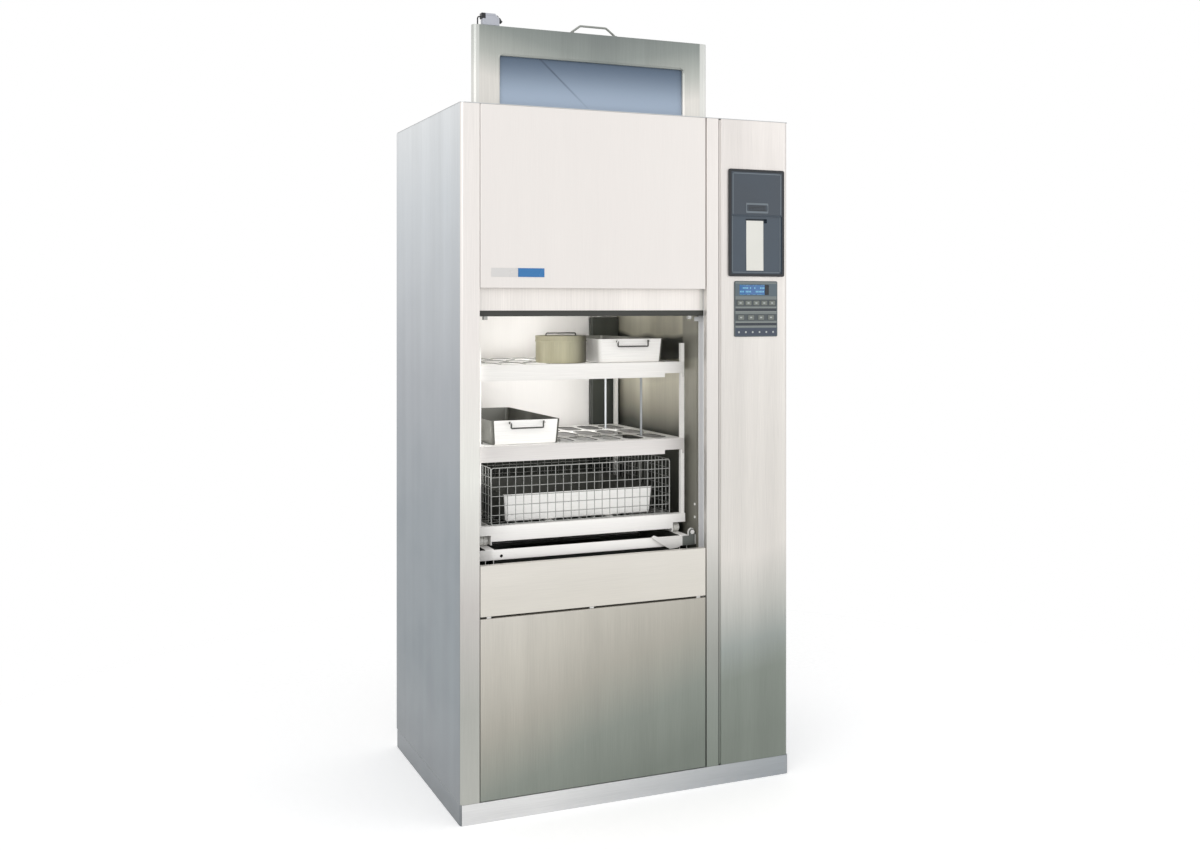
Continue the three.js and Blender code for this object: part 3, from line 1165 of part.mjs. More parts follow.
function addCabinet() {
  place(body, 'plinth', makePlinth(), 'brushed');
  place(body, 'inner_frame', makeInnerFrame(), 'zinc');
  place(body, 'left_side_panel', makeLeftSide(), 'brushed');
  place(body, 'right_side_panel', makeRightSide(), 'brushed');
  place(body, 'top_cover', makeTopCover(), 'brushed');
  place(body, 'back_panel', makeBackPanel(), 'dull');
  const lowerBottom = plinth.height + seam.foot;
  const kickBottom = opening.sill - kick.height;
  place(body, 'upper_front_panel', pan(panelLeft, panelRight, opening.lintel, skinTop), 'brushed');
  place(body, 'middle_front_panel', pan(panelLeft, panelRight, kickBottom, opening.sill), 'brushed');
  place(body, 'lower_front_panel', pan(panelLeft, panelRight, lowerBottom, kickBottom - seam.service), 'brushed');
  place(body, 'right_post', makeRightPost(), 'brushed');
  place(body, 'control_column', makeColumn(), 'brushed');
  place(body, 'chamber', makeChamber(), 'bright');
  place(body, 'heater', makeHeater(), 'dull');
  place(body, 'wash_pump', makePump(), 'motor');
  place(body, 'water_column', makeWaterColumn(), 'dull');
  place(body, 'dryer_blower', makeDryer(), 'zinc');
  place(body, 'control_box', makeControlBox(), 'grey');
}

function addDoor() {
  place(body, 'door_guide_left', makeGuide(-1), 'bright');
  place(body, 'door_guide_right', makeGuide(1), 'bright');
  place(body, 'door_lift_cylinder', makeLift(), 'zinc');
  const leaf = new THREE.Group();
  leaf.position.set(doorLeft, doorFront, doorBottom);
  body.add(leaf);
  place(leaf, 'door_frame', makeDoorFrame(), 'brushed');
  place(leaf, 'door_glass', makeGlass(), 'pane');
  place(leaf, 'door_seal', makeSeal(), 'rubber');
  place(leaf, 'door_bail', makeBail(), 'bright');
  place(leaf, 'sensor_box', makeSensor(), 'grey');
  place(leaf, 'sensor_lead', makeLead(), 'rubber');
}

function addRack() {
  place(body, 'rail_frame', makeRailFrame(), 'bright');
  place(body, 'latch_lever', makeLatch(), 'bright');
  place(body, 'spray_arm_bottom', makeArm(), 'bright', [middle, rackMiddle, chamber.floor + armBelow]);
  const group = new THREE.Group();
  group.position.set(middle, rack.fromFront, rackBase);
  body.add(group);
  place(group, 'rack_frame', makeRackFrame(), 'bright');
  const [frontAxle, rearAxle] = axlePlaces();
  place(group, 'front_wheelset', makeWheelset(), 'nylon', [0, frontAxle, roller.radius]);
  place(group, 'rear_wheelset', makeWheelset(), 'nylon', [0, rearAxle, roller.radius]);
  place(group, 'middle_shelf', makeShelf(false), 'bright', [0, 0, shelf.middle]);
  place(group, 'upper_shelf', makeShelf(true), 'bright', [0, 0, shelf.upper]);
  const armDrop = shelf.sheet + arm.fromDeck + arm.thick;
  place(group, 'spray_arm_middle', makeArm(), 'bright', [0, rackDepth / 2, shelf.middle - armDrop]);
  place(group, 'spray_arm_upper', makeArm(), 'bright', [0, rackDepth / 2, shelf.upper - armDrop]);
  addBasket(group);
  const trays = [['upper_tray', upperTrayX, shelf.upper], ['middle_tray', middleTrayX, shelf.middle]];
  trays.forEach(([name, x, deck]) => {
    const holder = new THREE.Group();
    holder.position.set(x, tray.fromFront, deck + fit);
    group.add(holder);
    place(holder, name, makeTray(), 'bright');
    place(holder, `${name}_handle`, makeDropHandle(), 'bright', [0, -dropHandle.out, handleEye()]);
  });
  place(group, 'round_container', makeDrum(), 'drum', [drumX, drum.fromFront, shelf.upper + fit]);
}

function addControls() {
  const group = new THREE.Group();
  group.position.set(columnLeft, 0, 0);
  body.add(group);
  place(group, 'printer_bezel', makeBezel(), 'bezel');
  place(group, 'printer_cover', makeCover(), 'plastic', [printer.left + printer.width / 2, -printer.proud,
    printer.bottom + printer.height - printer.rim - fit]);
  place(group, 'paper_strip', makePaper(), 'paper');
  place(group, 'keypad', makePad(), 'enamel');
  keyPlaces().forEach(({ name, x, z }) => place(group, name, makeKey(), 'keys', [x, keyFront(), z]));
}

addCabinet();
addDoor();
addRack();
addControls();

export default part;
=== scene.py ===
"""Dress of a washer disinfector: a stainless cabinet with a rising glazed door, a rack with its load, and controls.

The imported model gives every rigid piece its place. This script gives each one its finish, replaces the
small round and wired ones by finer pieces, and adds the fittings that are too small for the frame.
Lengths are in metres. +Z is up and the front faces -Y.
"""
from __future__ import annotations

import logging
import math
from contextlib import contextmanager
from dataclasses import dataclass
from enum import Enum
from typing import Callable, Iterator, Sequence

import bmesh
import bpy
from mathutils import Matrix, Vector


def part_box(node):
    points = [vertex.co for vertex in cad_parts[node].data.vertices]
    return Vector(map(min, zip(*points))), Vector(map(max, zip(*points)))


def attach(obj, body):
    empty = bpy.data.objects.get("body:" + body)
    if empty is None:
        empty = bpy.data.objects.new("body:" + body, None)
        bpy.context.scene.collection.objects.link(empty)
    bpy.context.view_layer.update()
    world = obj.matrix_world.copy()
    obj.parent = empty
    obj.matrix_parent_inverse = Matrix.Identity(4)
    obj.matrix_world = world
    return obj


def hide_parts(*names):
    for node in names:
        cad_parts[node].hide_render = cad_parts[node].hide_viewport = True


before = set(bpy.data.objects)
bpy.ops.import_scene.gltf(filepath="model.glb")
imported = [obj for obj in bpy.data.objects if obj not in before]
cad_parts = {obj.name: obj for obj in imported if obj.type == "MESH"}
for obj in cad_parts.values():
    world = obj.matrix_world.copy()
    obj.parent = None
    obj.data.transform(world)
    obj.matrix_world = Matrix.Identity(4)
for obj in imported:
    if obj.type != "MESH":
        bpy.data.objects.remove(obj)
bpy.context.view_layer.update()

LOG = logging.getLogger("washer")
Colour = tuple[float, float, float]
Point = tuple[float, float, float]
Socket = bpy.types.NodeSocket
Material = bpy.types.Material
Piece = bpy.types.Object
Face = bpy.types.MeshPolygon
FACING = 0.9
BEVELLED = math.radians(32.0)
SMOOTH = math.radians(40.0)
FLAT = math.radians(0.3)
MM = 0.001
QUARTER = math.pi / 2


def srgb(red: int, green: int, blue: int) -> Colour:
    """Turns a screen colour into a linear one.

    Args:
        red, green, blue: the screen colour, 0 to 255.

    Returns:
        The linear colour, 0 to 1.
    """
    def one(value: int) -> float:
        share = value / 255
        return share / 12.92 if share <= 0.04045 else ((share + 0.055) / 1.055) ** 2.4
    return one(red), one(green), one(blue)


class Grain(Enum):
    """Which way a metal sheet is brushed."""

    UP = (650.0, 650.0, 9.0)
    ACROSS = (9.0, 650.0, 650.0)
    DEEP = (650.0, 9.0, 650.0)
    NONE = (140.0, 140.0, 140.0)


class Graph:
    """The node tree of one material, with a principled shader at its end."""

    def __init__(self, name: str) -> None:
        """Starts a material of this name."""
        self.material = bpy.data.materials.new(name)
        self.material.use_nodes = True
        self.tree = self.material.node_tree
        self.shader = self.tree.nodes["Principled BSDF"]
        self.place = self.tree.nodes.new("ShaderNodeTexCoord").outputs["Object"]

    def node(self, kind: str, **settings: object) -> bpy.types.Node:
        """Adds a node and sets its own properties."""
        made = self.tree.nodes.new(kind)
        for key, value in settings.items():
            setattr(made, key, value)
        return made

    def feed(self, socket: Socket, value: object) -> None:
        """Links an output to a socket, or writes a plain value into it."""
        if isinstance(value, Socket):
            self.tree.links.new(value, socket)
        elif isinstance(value, tuple) and len(value) == 3 and len(socket.default_value) == 4:
            socket.default_value = (*value, 1.0)
        else:
            socket.default_value = value

    def stretched(self, scale: Point) -> Socket:
        """Gives the object's own coordinates, scaled along each axis."""
        mapping = self.node("ShaderNodeMapping")
        self.feed(mapping.inputs["Vector"], self.place)
        mapping.inputs["Scale"].default_value = scale
        return mapping.outputs["Vector"]

    def noise(self, scale: Point, detail: float) -> Socket:
        """A noise value over the object's own coordinates, scaled along each axis."""
        made = self.node("ShaderNodeTexNoise")
        self.feed(made.inputs["Vector"], self.stretched(scale))
        made.inputs["Scale"].default_value = 1.0
        made.inputs["Detail"].default_value = detail
        return made.outputs["Fac"]

    def axis(self, vector: Socket, name: str) -> Socket:
        """One axis of a vector, by its letter."""
        made = self.node("ShaderNodeSeparateXYZ")
        self.feed(made.inputs[0], vector)
        return made.outputs[name]

    def ranged(self, value: object, low: float, high: float, to_low: float, to_high: float) -> Socket:
        """Maps a value from one range to another, held inside it."""
        made = self.node("ShaderNodeMapRange")
        self.feed(made.inputs["Value"], value)
        for key, number in (("From Min", low), ("From Max", high), ("To Min", to_low), ("To Max", to_high)):
            made.inputs[key].default_value = number
        return made.outputs["Result"]

    def maths(self, operation: str, first: object, second: object = 0.0) -> Socket:
        """A sum, product or other step on two values."""
        made = self.node("ShaderNodeMath", operation=operation)
        self.feed(made.inputs[0], first)
        self.feed(made.inputs[1], second)
        return made.outputs[0]

    def mixed(self, factor: object, first: object, second: object, how: str = "MIX") -> Socket:
        """Mixes two colours in the given way."""
        made = self.node("ShaderNodeMix", data_type="RGBA", blend_type=how)
        self.feed(made.inputs[0], factor)
        self.feed(made.inputs[6], first)
        self.feed(made.inputs[7], second)
        return made.outputs[2]

    def ramp(self, factor: Socket, stops: Sequence[tuple[float, Colour]]) -> Socket:
        """A colour ramp.

        Args:
            factor: the value that picks the colour.
            stops: places from 0 to 1, each with its linear colour.

        Returns:
            The colour socket.
        """
        made = self.node("ShaderNodeValToRGB")
        made.color_ramp.interpolation = "EASE" if len(stops) == 2 else "LINEAR"
        points = made.color_ramp.elements
        while len(points) < len(stops):
            points.new(0.5)
        for point, (where, colour) in zip(points, sorted(stops)):
            point.position = where
            point.color = (*colour, 1.0)
        self.feed(made.inputs[0], factor)
        return made.outputs[0]

    def bumped(self, height: Socket, strength: float, distance: float) -> None:
        """Feeds a height to the shader's normal."""
        made = self.node("ShaderNodeBump")
        made.inputs["Strength"].default_value = strength
        made.inputs["Distance"].default_value = distance
        self.feed(made.inputs["Height"], height)
        self.feed(self.shader.inputs["Normal"], made.outputs["Normal"])

    def end(self, **sockets: object) -> Material:
        """Sets the shader's sockets, by name with _ for a space, and gives the material."""
        for name, value in sockets.items():
            self.feed(self.shader.inputs[name.replace("_", " ")], value)
        return self.material


@dataclass(frozen=True)
class Tint:
    """A tone that takes over between two places along one axis, used for painted shade and painted highlights."""

    axis: str
    start: float
    end: float
    tone: Colour
    share: float = 1.0

    def over(self, graph: "Graph", under: object) -> Socket:
        """Lays the tone over another colour."""
        factor = graph.ranged(graph.axis(graph.place, self.axis), self.start, self.end, 0.0, self.share)
        return graph.mixed(factor, under, self.tone)


@dataclass(frozen=True)
class Dip:
    """A change of the height at which a tone is read, away from a middle line; it bends the door's painted shading.
    """

    middle: float
    reach: float
    amount: float

    def lower(self, graph: "Graph", level: object) -> Socket:
        """Lowers the level by the distance from the middle line."""
        off = graph.maths("ABSOLUTE", graph.maths("SUBTRACT", graph.axis(graph.place, "X"), self.middle))
        return graph.maths("SUBTRACT", level, graph.ranged(off, 0.0, self.reach, 0.0, self.amount))


@dataclass(frozen=True)
class Brushed:
    """Brushed stainless sheet, whose tone may change with height and across its width; the height ramp is painted
    light and shade.
    """

    name: str
    tones: tuple[tuple[float, Colour], ...]
    grain: Grain = Grain.UP
    metal: float = 0.55
    rough: float = 0.36
    slant: float = 0.0
    streak: float = 0.07
    band: float = 0.05
    handled: float = 0.06
    wander: float = 0.03
    dip: Dip | None = None
    tints: tuple[Tint, ...] = ()

    def build(self) -> Material:
        """Makes the material: painted light and shade by height, brush lines, broad bands and handling marks."""
        graph = Graph(self.name)
        low, high = self.tones[0][0], self.tones[-1][0]
        span = max(high - low, MM)
        stops = [((height - low) / span, tone) for height, tone in self.tones]
        level = graph.axis(graph.place, "Z")
        if self.slant:
            level = graph.maths("ADD", level, graph.maths("MULTIPLY", graph.axis(graph.place, "X"), -self.slant))
        if self.dip:
            level = self.dip.lower(graph, level)
        wander = graph.noise((2.2, 2.2, 1.1), 2.0)
        level = graph.maths("ADD", level, graph.ranged(wander, 0.3, 0.7, -self.wander, self.wander))
        # the tone read by height, with its slant and dip, is painted light and shade
        tone = graph.ramp(graph.ranged(level, low, high, 0.0, 1.0), stops)
        for tint in self.tints:
            tone = tint.over(graph, tone)
        lines = graph.noise(self.grain.value, 4.0)
        wide = tuple(max(share / 45, 0.5) for share in self.grain.value)
        bands = graph.noise(wide, 2.0)
        marks = graph.noise((7.0, 7.0, 7.0), 5.0)
        light = graph.maths("ADD", graph.ranged(lines, 0.25, 0.75, 1 - self.streak, 1 + self.streak),
                            graph.ranged(bands, 0.3, 0.7, -self.band, self.band))
        colour = graph.mixed(1.0, tone, self.grey(graph, light), "MULTIPLY")
        rough = graph.maths("ADD", graph.ranged(lines, 0.2, 0.8, self.rough - 0.06, self.rough + 0.06),
                            graph.ranged(marks, 0.4, 0.75, 0.0, self.handled))
        graph.bumped(lines, 0.12, 0.0004)
        return graph.end(Base_Color=colour, Roughness=rough, Metallic=self.metal)

    @staticmethod
    def grey(graph: Graph, value: Socket) -> Socket:
        """Turns a value into a grey colour."""
        made = graph.node("ShaderNodeCombineColor")
        for socket in made.inputs[:3]:
            graph.feed(socket, value)
        return made.outputs[0]


@dataclass(frozen=True)
class Ink:
    """A printed oblong on a front face, by its sides in X and Z."""

    left: float
    right: float
    low: float
    high: float
    tone: Colour

    def over(self, graph: "Graph", under: object) -> Socket:
        """Prints the oblong over another colour."""
        inside: object = 1.0
        for axis, first, last in (("X", self.left, self.right), ("Z", self.low, self.high)):
            place = graph.axis(graph.place, axis)
            inside = graph.maths("MULTIPLY", inside, graph.maths("GREATER_THAN", place, first))
            inside = graph.maths("MULTIPLY", inside, graph.maths("LESS_THAN", place, last))
        return graph.mixed(inside, under, self.tone)


@dataclass(frozen=True)
class Moulded:
    """Moulded plastic or rubber with a fine skin."""

    name: str
    tone: Colour
    rough: float = 0.45
    skin: float = 900.0
    worn: float = 0.08
    coat: float = 0.0
    prints: tuple[Ink, ...] = ()

    def build(self) -> Material:
        """Makes the material: a speckled skin, slight fading, rubbed places and any print."""
        graph = Graph(self.name)
        fine = graph.noise((self.skin,) * 3, 2.0)
        broad = graph.noise((9.0, 9.0, 9.0), 4.0)
        light = graph.ranged(broad, 0.3, 0.7, 1 - self.worn, 1 + self.worn)
        tone: object = self.tone
        for ink in self.prints:
            tone = ink.over(graph, tone)
        colour = graph.mixed(1.0, tone, Brushed.grey(graph, light), "MULTIPLY")
        rough = graph.ranged(broad, 0.35, 0.7, self.rough - 0.05, self.rough + 0.08)
        graph.bumped(fine, 0.15, 0.0002)
        return graph.end(Base_Color=colour, Roughness=rough, Coat_Weight=self.coat)


@dataclass(frozen=True)
class Painted:
    """Sprayed paint on metal with a light orange-peel."""

    name: str
    tone: Colour
    rough: float = 0.42

    def build(self) -> Material:
        """Makes the material: orange-peel, dust and small tone changes."""
        graph = Graph(self.name)
        peel = graph.noise((260.0,) * 3, 1.0)
        dust = graph.noise((14.0,) * 3, 5.0)
        colour = graph.mixed(graph.ranged(dust, 0.45, 0.8, 0.0, 0.25), self.tone, (0.45, 0.44, 0.42))
        graph.bumped(peel, 0.12, 0.0006)
        return graph.end(Base_Color=colour, Roughness=graph.ranged(dust, 0.3, 0.8, self.rough, self.rough + 0.15))


@dataclass(frozen=True)
class Zinc:
    """Galvanised steel with its spangle."""

    name: str
    tone: Colour

    def build(self) -> Material:
        """Makes the material: crystal patches of slightly different grey."""
        graph = Graph(self.name)
        cells = graph.node("ShaderNodeTexVoronoi")
        graph.feed(cells.inputs["Vector"], graph.stretched((90.0,) * 3))
        patch = graph.axis(cells.outputs["Color"], "X")
        light = graph.ranged(patch, 0.0, 1.0, 0.86, 1.1)
        colour = graph.mixed(1.0, self.tone, Brushed.grey(graph, light), "MULTIPLY")
        return graph.end(Base_Color=colour, Roughness=graph.ranged(patch, 0.0, 1.0, 0.4, 0.55), Metallic=0.7)


@dataclass(frozen=True)
class Pane:
    """Tempered glass: a bluish reflection that pales downwards, clearer below it, and one soft painted diagonal
    reflection line.
    """

    name: str
    high: Colour
    low: Colour
    deep: Colour
    top: float
    bottom: float
    streak_from: tuple[float, float]
    streak_slope: float

    def build(self) -> Material:
        """Makes the glass: a cool painted reflection by height, smears of wiping and the painted reflection line."""
        graph = Graph(self.name)
        level = graph.ranged(graph.axis(graph.place, "Z"), self.bottom, self.top, 0.0, 1.0)
        tone = graph.ramp(level, ((0.0, self.low), (1.0, self.high)))
        clear = graph.ranged(graph.axis(graph.place, "Z"), self.bottom - 0.24, self.bottom - 0.03, 1.0, 0.0)
        tone = graph.mixed(clear, tone, self.deep)
        # a thin dark diagonal line: a painted reflection
        x = graph.maths("SUBTRACT", graph.axis(graph.place, "X"), self.streak_from[0])
        z = graph.maths("SUBTRACT", graph.axis(graph.place, "Z"), self.streak_from[1])
        off = graph.maths("ABSOLUTE", graph.maths("ADD", x, graph.maths("MULTIPLY", z, self.streak_slope)))
        line = graph.ranged(off, 0.001, 0.006, 0.7, 0.0)
        line = graph.maths("MULTIPLY", line, graph.ranged(z, -0.13, -0.03, 0.1, 1.0))
        tone = graph.mixed(line, tone, srgb(70, 84, 104))
        smear = graph.noise((5.0, 5.0, 2.0), 5.0)
        graph.material.surface_render_method = "DITHERED"
        return graph.end(Base_Color=tone, Roughness=graph.ranged(smear, 0.4, 0.8, 0.04, 0.16), Metallic=0.0,
                         Alpha=graph.ranged(clear, 0.0, 1.0, 0.9, 0.34), IOR=1.5, Specular_IOR_Level=0.4)


@dataclass(frozen=True)
class Screen:
    """A lit liquid-crystal window with two rows of plain segments."""

    name: str
    ground: Colour
    segment: Colour
    corner: tuple[float, float]
    pitch: tuple[float, float]

    def build(self) -> Material:
        """Makes the screen: a glowing ground and rows of small blocks of varied length."""
        graph = Graph(self.name)
        u, v = (graph.maths("DIVIDE", graph.maths("SUBTRACT", graph.axis(graph.place, axis), start), pitch)
                for axis, start, pitch in zip("XZ", self.corner, self.pitch))
        cell_u, cell_v = graph.maths("FLOOR", u), graph.maths("FLOOR", v)
        pick = graph.node("ShaderNodeCombineXYZ")
        graph.feed(pick.inputs[0], cell_u)
        graph.feed(pick.inputs[1], cell_v)
        dice = graph.node("ShaderNodeTexWhiteNoise", noise_dimensions="2D")
        graph.feed(dice.inputs["Vector"], pick.outputs[0])
        lit = graph.maths("GREATER_THAN", dice.outputs["Value"], 0.35)
        inside = graph.maths("MULTIPLY", self.window(graph, u, 0.16, 0.84), self.window(graph, v, 0.28, 0.72))
        mask = graph.maths("MULTIPLY", inside, lit)
        glow = graph.noise((60.0,) * 3, 1.0)
        ground = graph.mixed(graph.ranged(glow, 0.3, 0.7, 0.0, 0.5), self.ground, srgb(16, 84, 150))
        colour = graph.mixed(mask, ground, self.segment)
        graph.feed(graph.shader.inputs["Emission Color"], colour)
        return graph.end(Base_Color=colour, Roughness=0.18, Emission_Strength=0.12, Coat_Weight=0.6)

    @staticmethod
    def window(graph: Graph, value: Socket, low: float, high: float) -> Socket:
        """One where the value's fraction lies between two limits, else nought."""
        part = graph.maths("FRACT", value)
        return graph.maths("MULTIPLY", graph.maths("GREATER_THAN", part, low), graph.maths("LESS_THAN", part, high))


WARM = srgb(240, 235, 231)
# FRONT_, POST_, COLUMN_, RIGHT_ and SIDE_TONES are painted light and shade: each sheet is darker low down and lighter
# high up, and SIDE_TONES is the darker, shaded copy for the side sheets. DOOR_TONES paints the door's raised top
# darker: painted shade.
FRONT_TONES = ((0.06, srgb(122, 129, 121)), (0.24, srgb(138, 144, 136)), (0.42, srgb(172, 169, 159)),
               (0.60, srgb(197, 193, 183)), (0.95, srgb(226, 222, 215)), (1.30, WARM))
POST_TONES = ((0.06, srgb(182, 183, 177)), (0.30, srgb(177, 178, 172)), (0.60, srgb(203, 199, 195)),
              (0.95, srgb(236, 236, 230)), (1.30, WARM))
COLUMN_TONES = ((0.08, srgb(126, 133, 125)), (0.26, srgb(136, 143, 135)), (0.36, srgb(158, 164, 160)),
                (0.48, srgb(197, 197, 191)), (0.62, srgb(225, 221, 215)), (1.15, srgb(221, 217, 212)),
                (1.80, srgb(220, 215, 211)))
RIGHT_TONES = ((0.06, srgb(134, 141, 133)), (0.24, srgb(142, 148, 141)), (0.40, srgb(160, 162, 156)),
               (0.56, srgb(188, 188, 182)), (0.74, srgb(222, 219, 214)), (1.20, srgb(226, 222, 218)),
               (1.80, srgb(231, 226, 222)))
SIDE_TONES = ((0.06, srgb(134, 139, 143)), (0.35, srgb(130, 139, 145)), (0.75, srgb(138, 147, 154)),
              (1.20, srgb(164, 169, 175)), (1.75, srgb(206, 211, 215)), (2.00, srgb(226, 229, 231)))
DOOR_TONES = ((1.45, srgb(240, 235, 230)), (1.99, srgb(220, 217, 211)), (2.06, srgb(180, 183, 177)),
              (2.14, srgb(142, 148, 144)), (2.19, srgb(130, 136, 133)), (2.23, srgb(122, 128, 126)))


BRIGHT_TONES = ((0.6, srgb(214, 213, 210)), (1.5, srgb(238, 237, 233)))
FINISHES: dict[str, Brushed | Moulded | Painted | Zinc] = {
    "front": Brushed("front_sheet", FRONT_TONES, slant=0.42),
    "upper": Brushed("upper_sheet", ((0.5, WARM), (2.0, srgb(241, 236, 232))), streak=0.02, band=0.008,
                     wander=0.3, metal=0.25, rough=0.46),
    "middle": Brushed("middle_sheet", ((0.56, srgb(218, 214, 205)), (0.72, srgb(226, 222, 214))),
                      grain=Grain.ACROSS, streak=0.04, band=0.02),
    "post": Brushed("post_sheet", POST_TONES, streak=0.05, band=0.015),
    "right": Brushed("right_post_sheet", RIGHT_TONES, slant=0.1, streak=0.05, band=0.015),
    "column": Brushed("column_sheet", COLUMN_TONES, slant=0.2),
    "side": Brushed("side_sheet", SIDE_TONES, metal=0.5),
    # the plinth's front darkens to the right and its ends (plinth_side) are darker still: painted shade
    "plinth": Brushed("plinth_sheet", ((0.0, srgb(220, 220, 220)), (0.06, srgb(226, 226, 226))),
                      grain=Grain.ACROSS, tints=(Tint("X", -0.30, 0.50, srgb(160, 165, 169)),)),
    "plinth_side": Brushed("plinth_side", ((0.0, srgb(124, 129, 133)), (0.06, srgb(134, 139, 143))),
                           grain=Grain.DEEP),
    "top": Brushed("roof_sheet", ((1.9, srgb(200, 202, 202)), (2.1, srgb(206, 208, 208))),
                   grain=Grain.ACROSS),
    "back": Brushed("back_sheet", ((0.0, srgb(150, 153, 152)), (2.0, srgb(176, 179, 178)))),
    "bright": Brushed("bright_steel", BRIGHT_TONES, grain=Grain.NONE, metal=0.45, rough=0.3),
    "rack": Brushed("rack_steel", ((0.7, srgb(222, 221, 218)), (1.05, srgb(214, 210, 207)),
                                   (1.25, srgb(234, 232, 228))),
                    grain=Grain.ACROSS, metal=0.2, rough=0.34),
    "base": Brushed("base_steel", ((0.72, srgb(250, 248, 245)), (1.3, srgb(244, 242, 238))),
                    grain=Grain.ACROSS, metal=0.0, rough=0.42, streak=0.04),
    # near-white lit copy for the right guide's front- and left-facing faces: painted highlight
    "lip": Brushed("guide_lip", ((0.6, srgb(253, 253, 254)), (1.9, srgb(255, 255, 255))),
                   metal=0.0, rough=0.3, streak=0.02, band=0.01),
    # brighter lit copy for the top faces of the shelf decks: painted highlight
    "deck": Brushed("deck_steel", ((1.0, srgb(250, 249, 246)), (1.3, srgb(252, 251, 248))),
                    grain=Grain.DEEP, metal=0.0, rough=0.45, streak=0.05),
    "tray": Brushed("tray_steel", ((0.8, srgb(254, 253, 250)), (1.4, srgb(254, 252, 248))),
                    grain=Grain.ACROSS, metal=0.0, rough=0.36),
    # near-black steel for the chamber floor and the water column: painted shade
    "duct": Brushed("duct_steel", ((0.7, srgb(40, 43, 40)), (1.4, srgb(68, 71, 65))), metal=0.2,
                    rough=0.4, band=0.16),
    # dark tone for the stainless handle wires: painted shade
    "gloom": Brushed("dark_wire", ((0.7, srgb(70, 70, 66)), (1.4, srgb(84, 84, 80))),
                     grain=Grain.NONE, metal=0.2),
    "wire": Brushed("wire_steel", ((0.7, srgb(160, 161, 158)), (1.4, srgb(182, 182, 178))),
                    grain=Grain.NONE, metal=0.6, rough=0.28),
    "dark": Brushed("guide_steel", ((0.6, srgb(120, 124, 120)), (1.6, srgb(150, 153, 148))), metal=0.5,
                    rough=0.4),
    "shaded": Brushed("shaded_steel", ((0.7, srgb(74, 76, 72)), (1.1, srgb(96, 96, 90)),
                                       (1.4, srgb(120, 120, 114))), grain=Grain.DEEP, metal=0.3),
    "tube": Brushed("drawn_tube", ((0.4, srgb(168, 171, 174)), (1.6, srgb(182, 185, 188)))),
    "burnt": Brushed("heater_tube", ((0.5, srgb(104, 90, 78)), (0.65, srgb(136, 128, 116))),
                     grain=Grain.NONE),
    "zinc": Zinc("zinc_coat", srgb(160, 165, 168)),
    "enamel": Painted("pump_paint", srgb(62, 78, 96)),
    "grey_paint": Painted("cabinet_paint", srgb(160, 165, 162)),
    "rubber": Moulded("seal_rubber", srgb(60, 61, 57), rough=0.6),
    "nylon": Moulded("roller_nylon", srgb(236, 235, 230), rough=0.4, worn=0.04),
    "grey": Moulded("grey_housing", srgb(190, 193, 202), rough=0.4),
    "cover": Moulded("printer_cover", srgb(66, 75, 85), rough=0.4),
    "trim": Moulded("printer_trim", srgb(112, 122, 130), rough=0.36),
    "black": Moulded("black_moulding", srgb(26, 28, 32), rough=0.35),
    "key": Moulded("key_cap", srgb(122, 127, 122), rough=0.5, worn=0.05),
    "mark": Moulded("pale_mark", srgb(190, 196, 194), rough=0.5, worn=0.02),
    "paper": Moulded("paper", srgb(240, 239, 232), rough=0.85, skin=500.0, worn=0.03),
    "blue": Moulded("blue_plate", srgb(46, 122, 184), rough=0.3, worn=0.03, coat=0.3),
    "card": Moulded("pale_plate", srgb(226, 224, 222), rough=0.3, worn=0.03),
}


class Palette:
    """Every finish on the machine, each made once."""

    def __init__(self) -> None:
        """Builds the materials."""
        self.made = {name: finish.build() for name, finish in FINISHES.items()}

    def __getattr__(self, name: str) -> Material:
        """A finish by its short name."""
        return self.made[name]


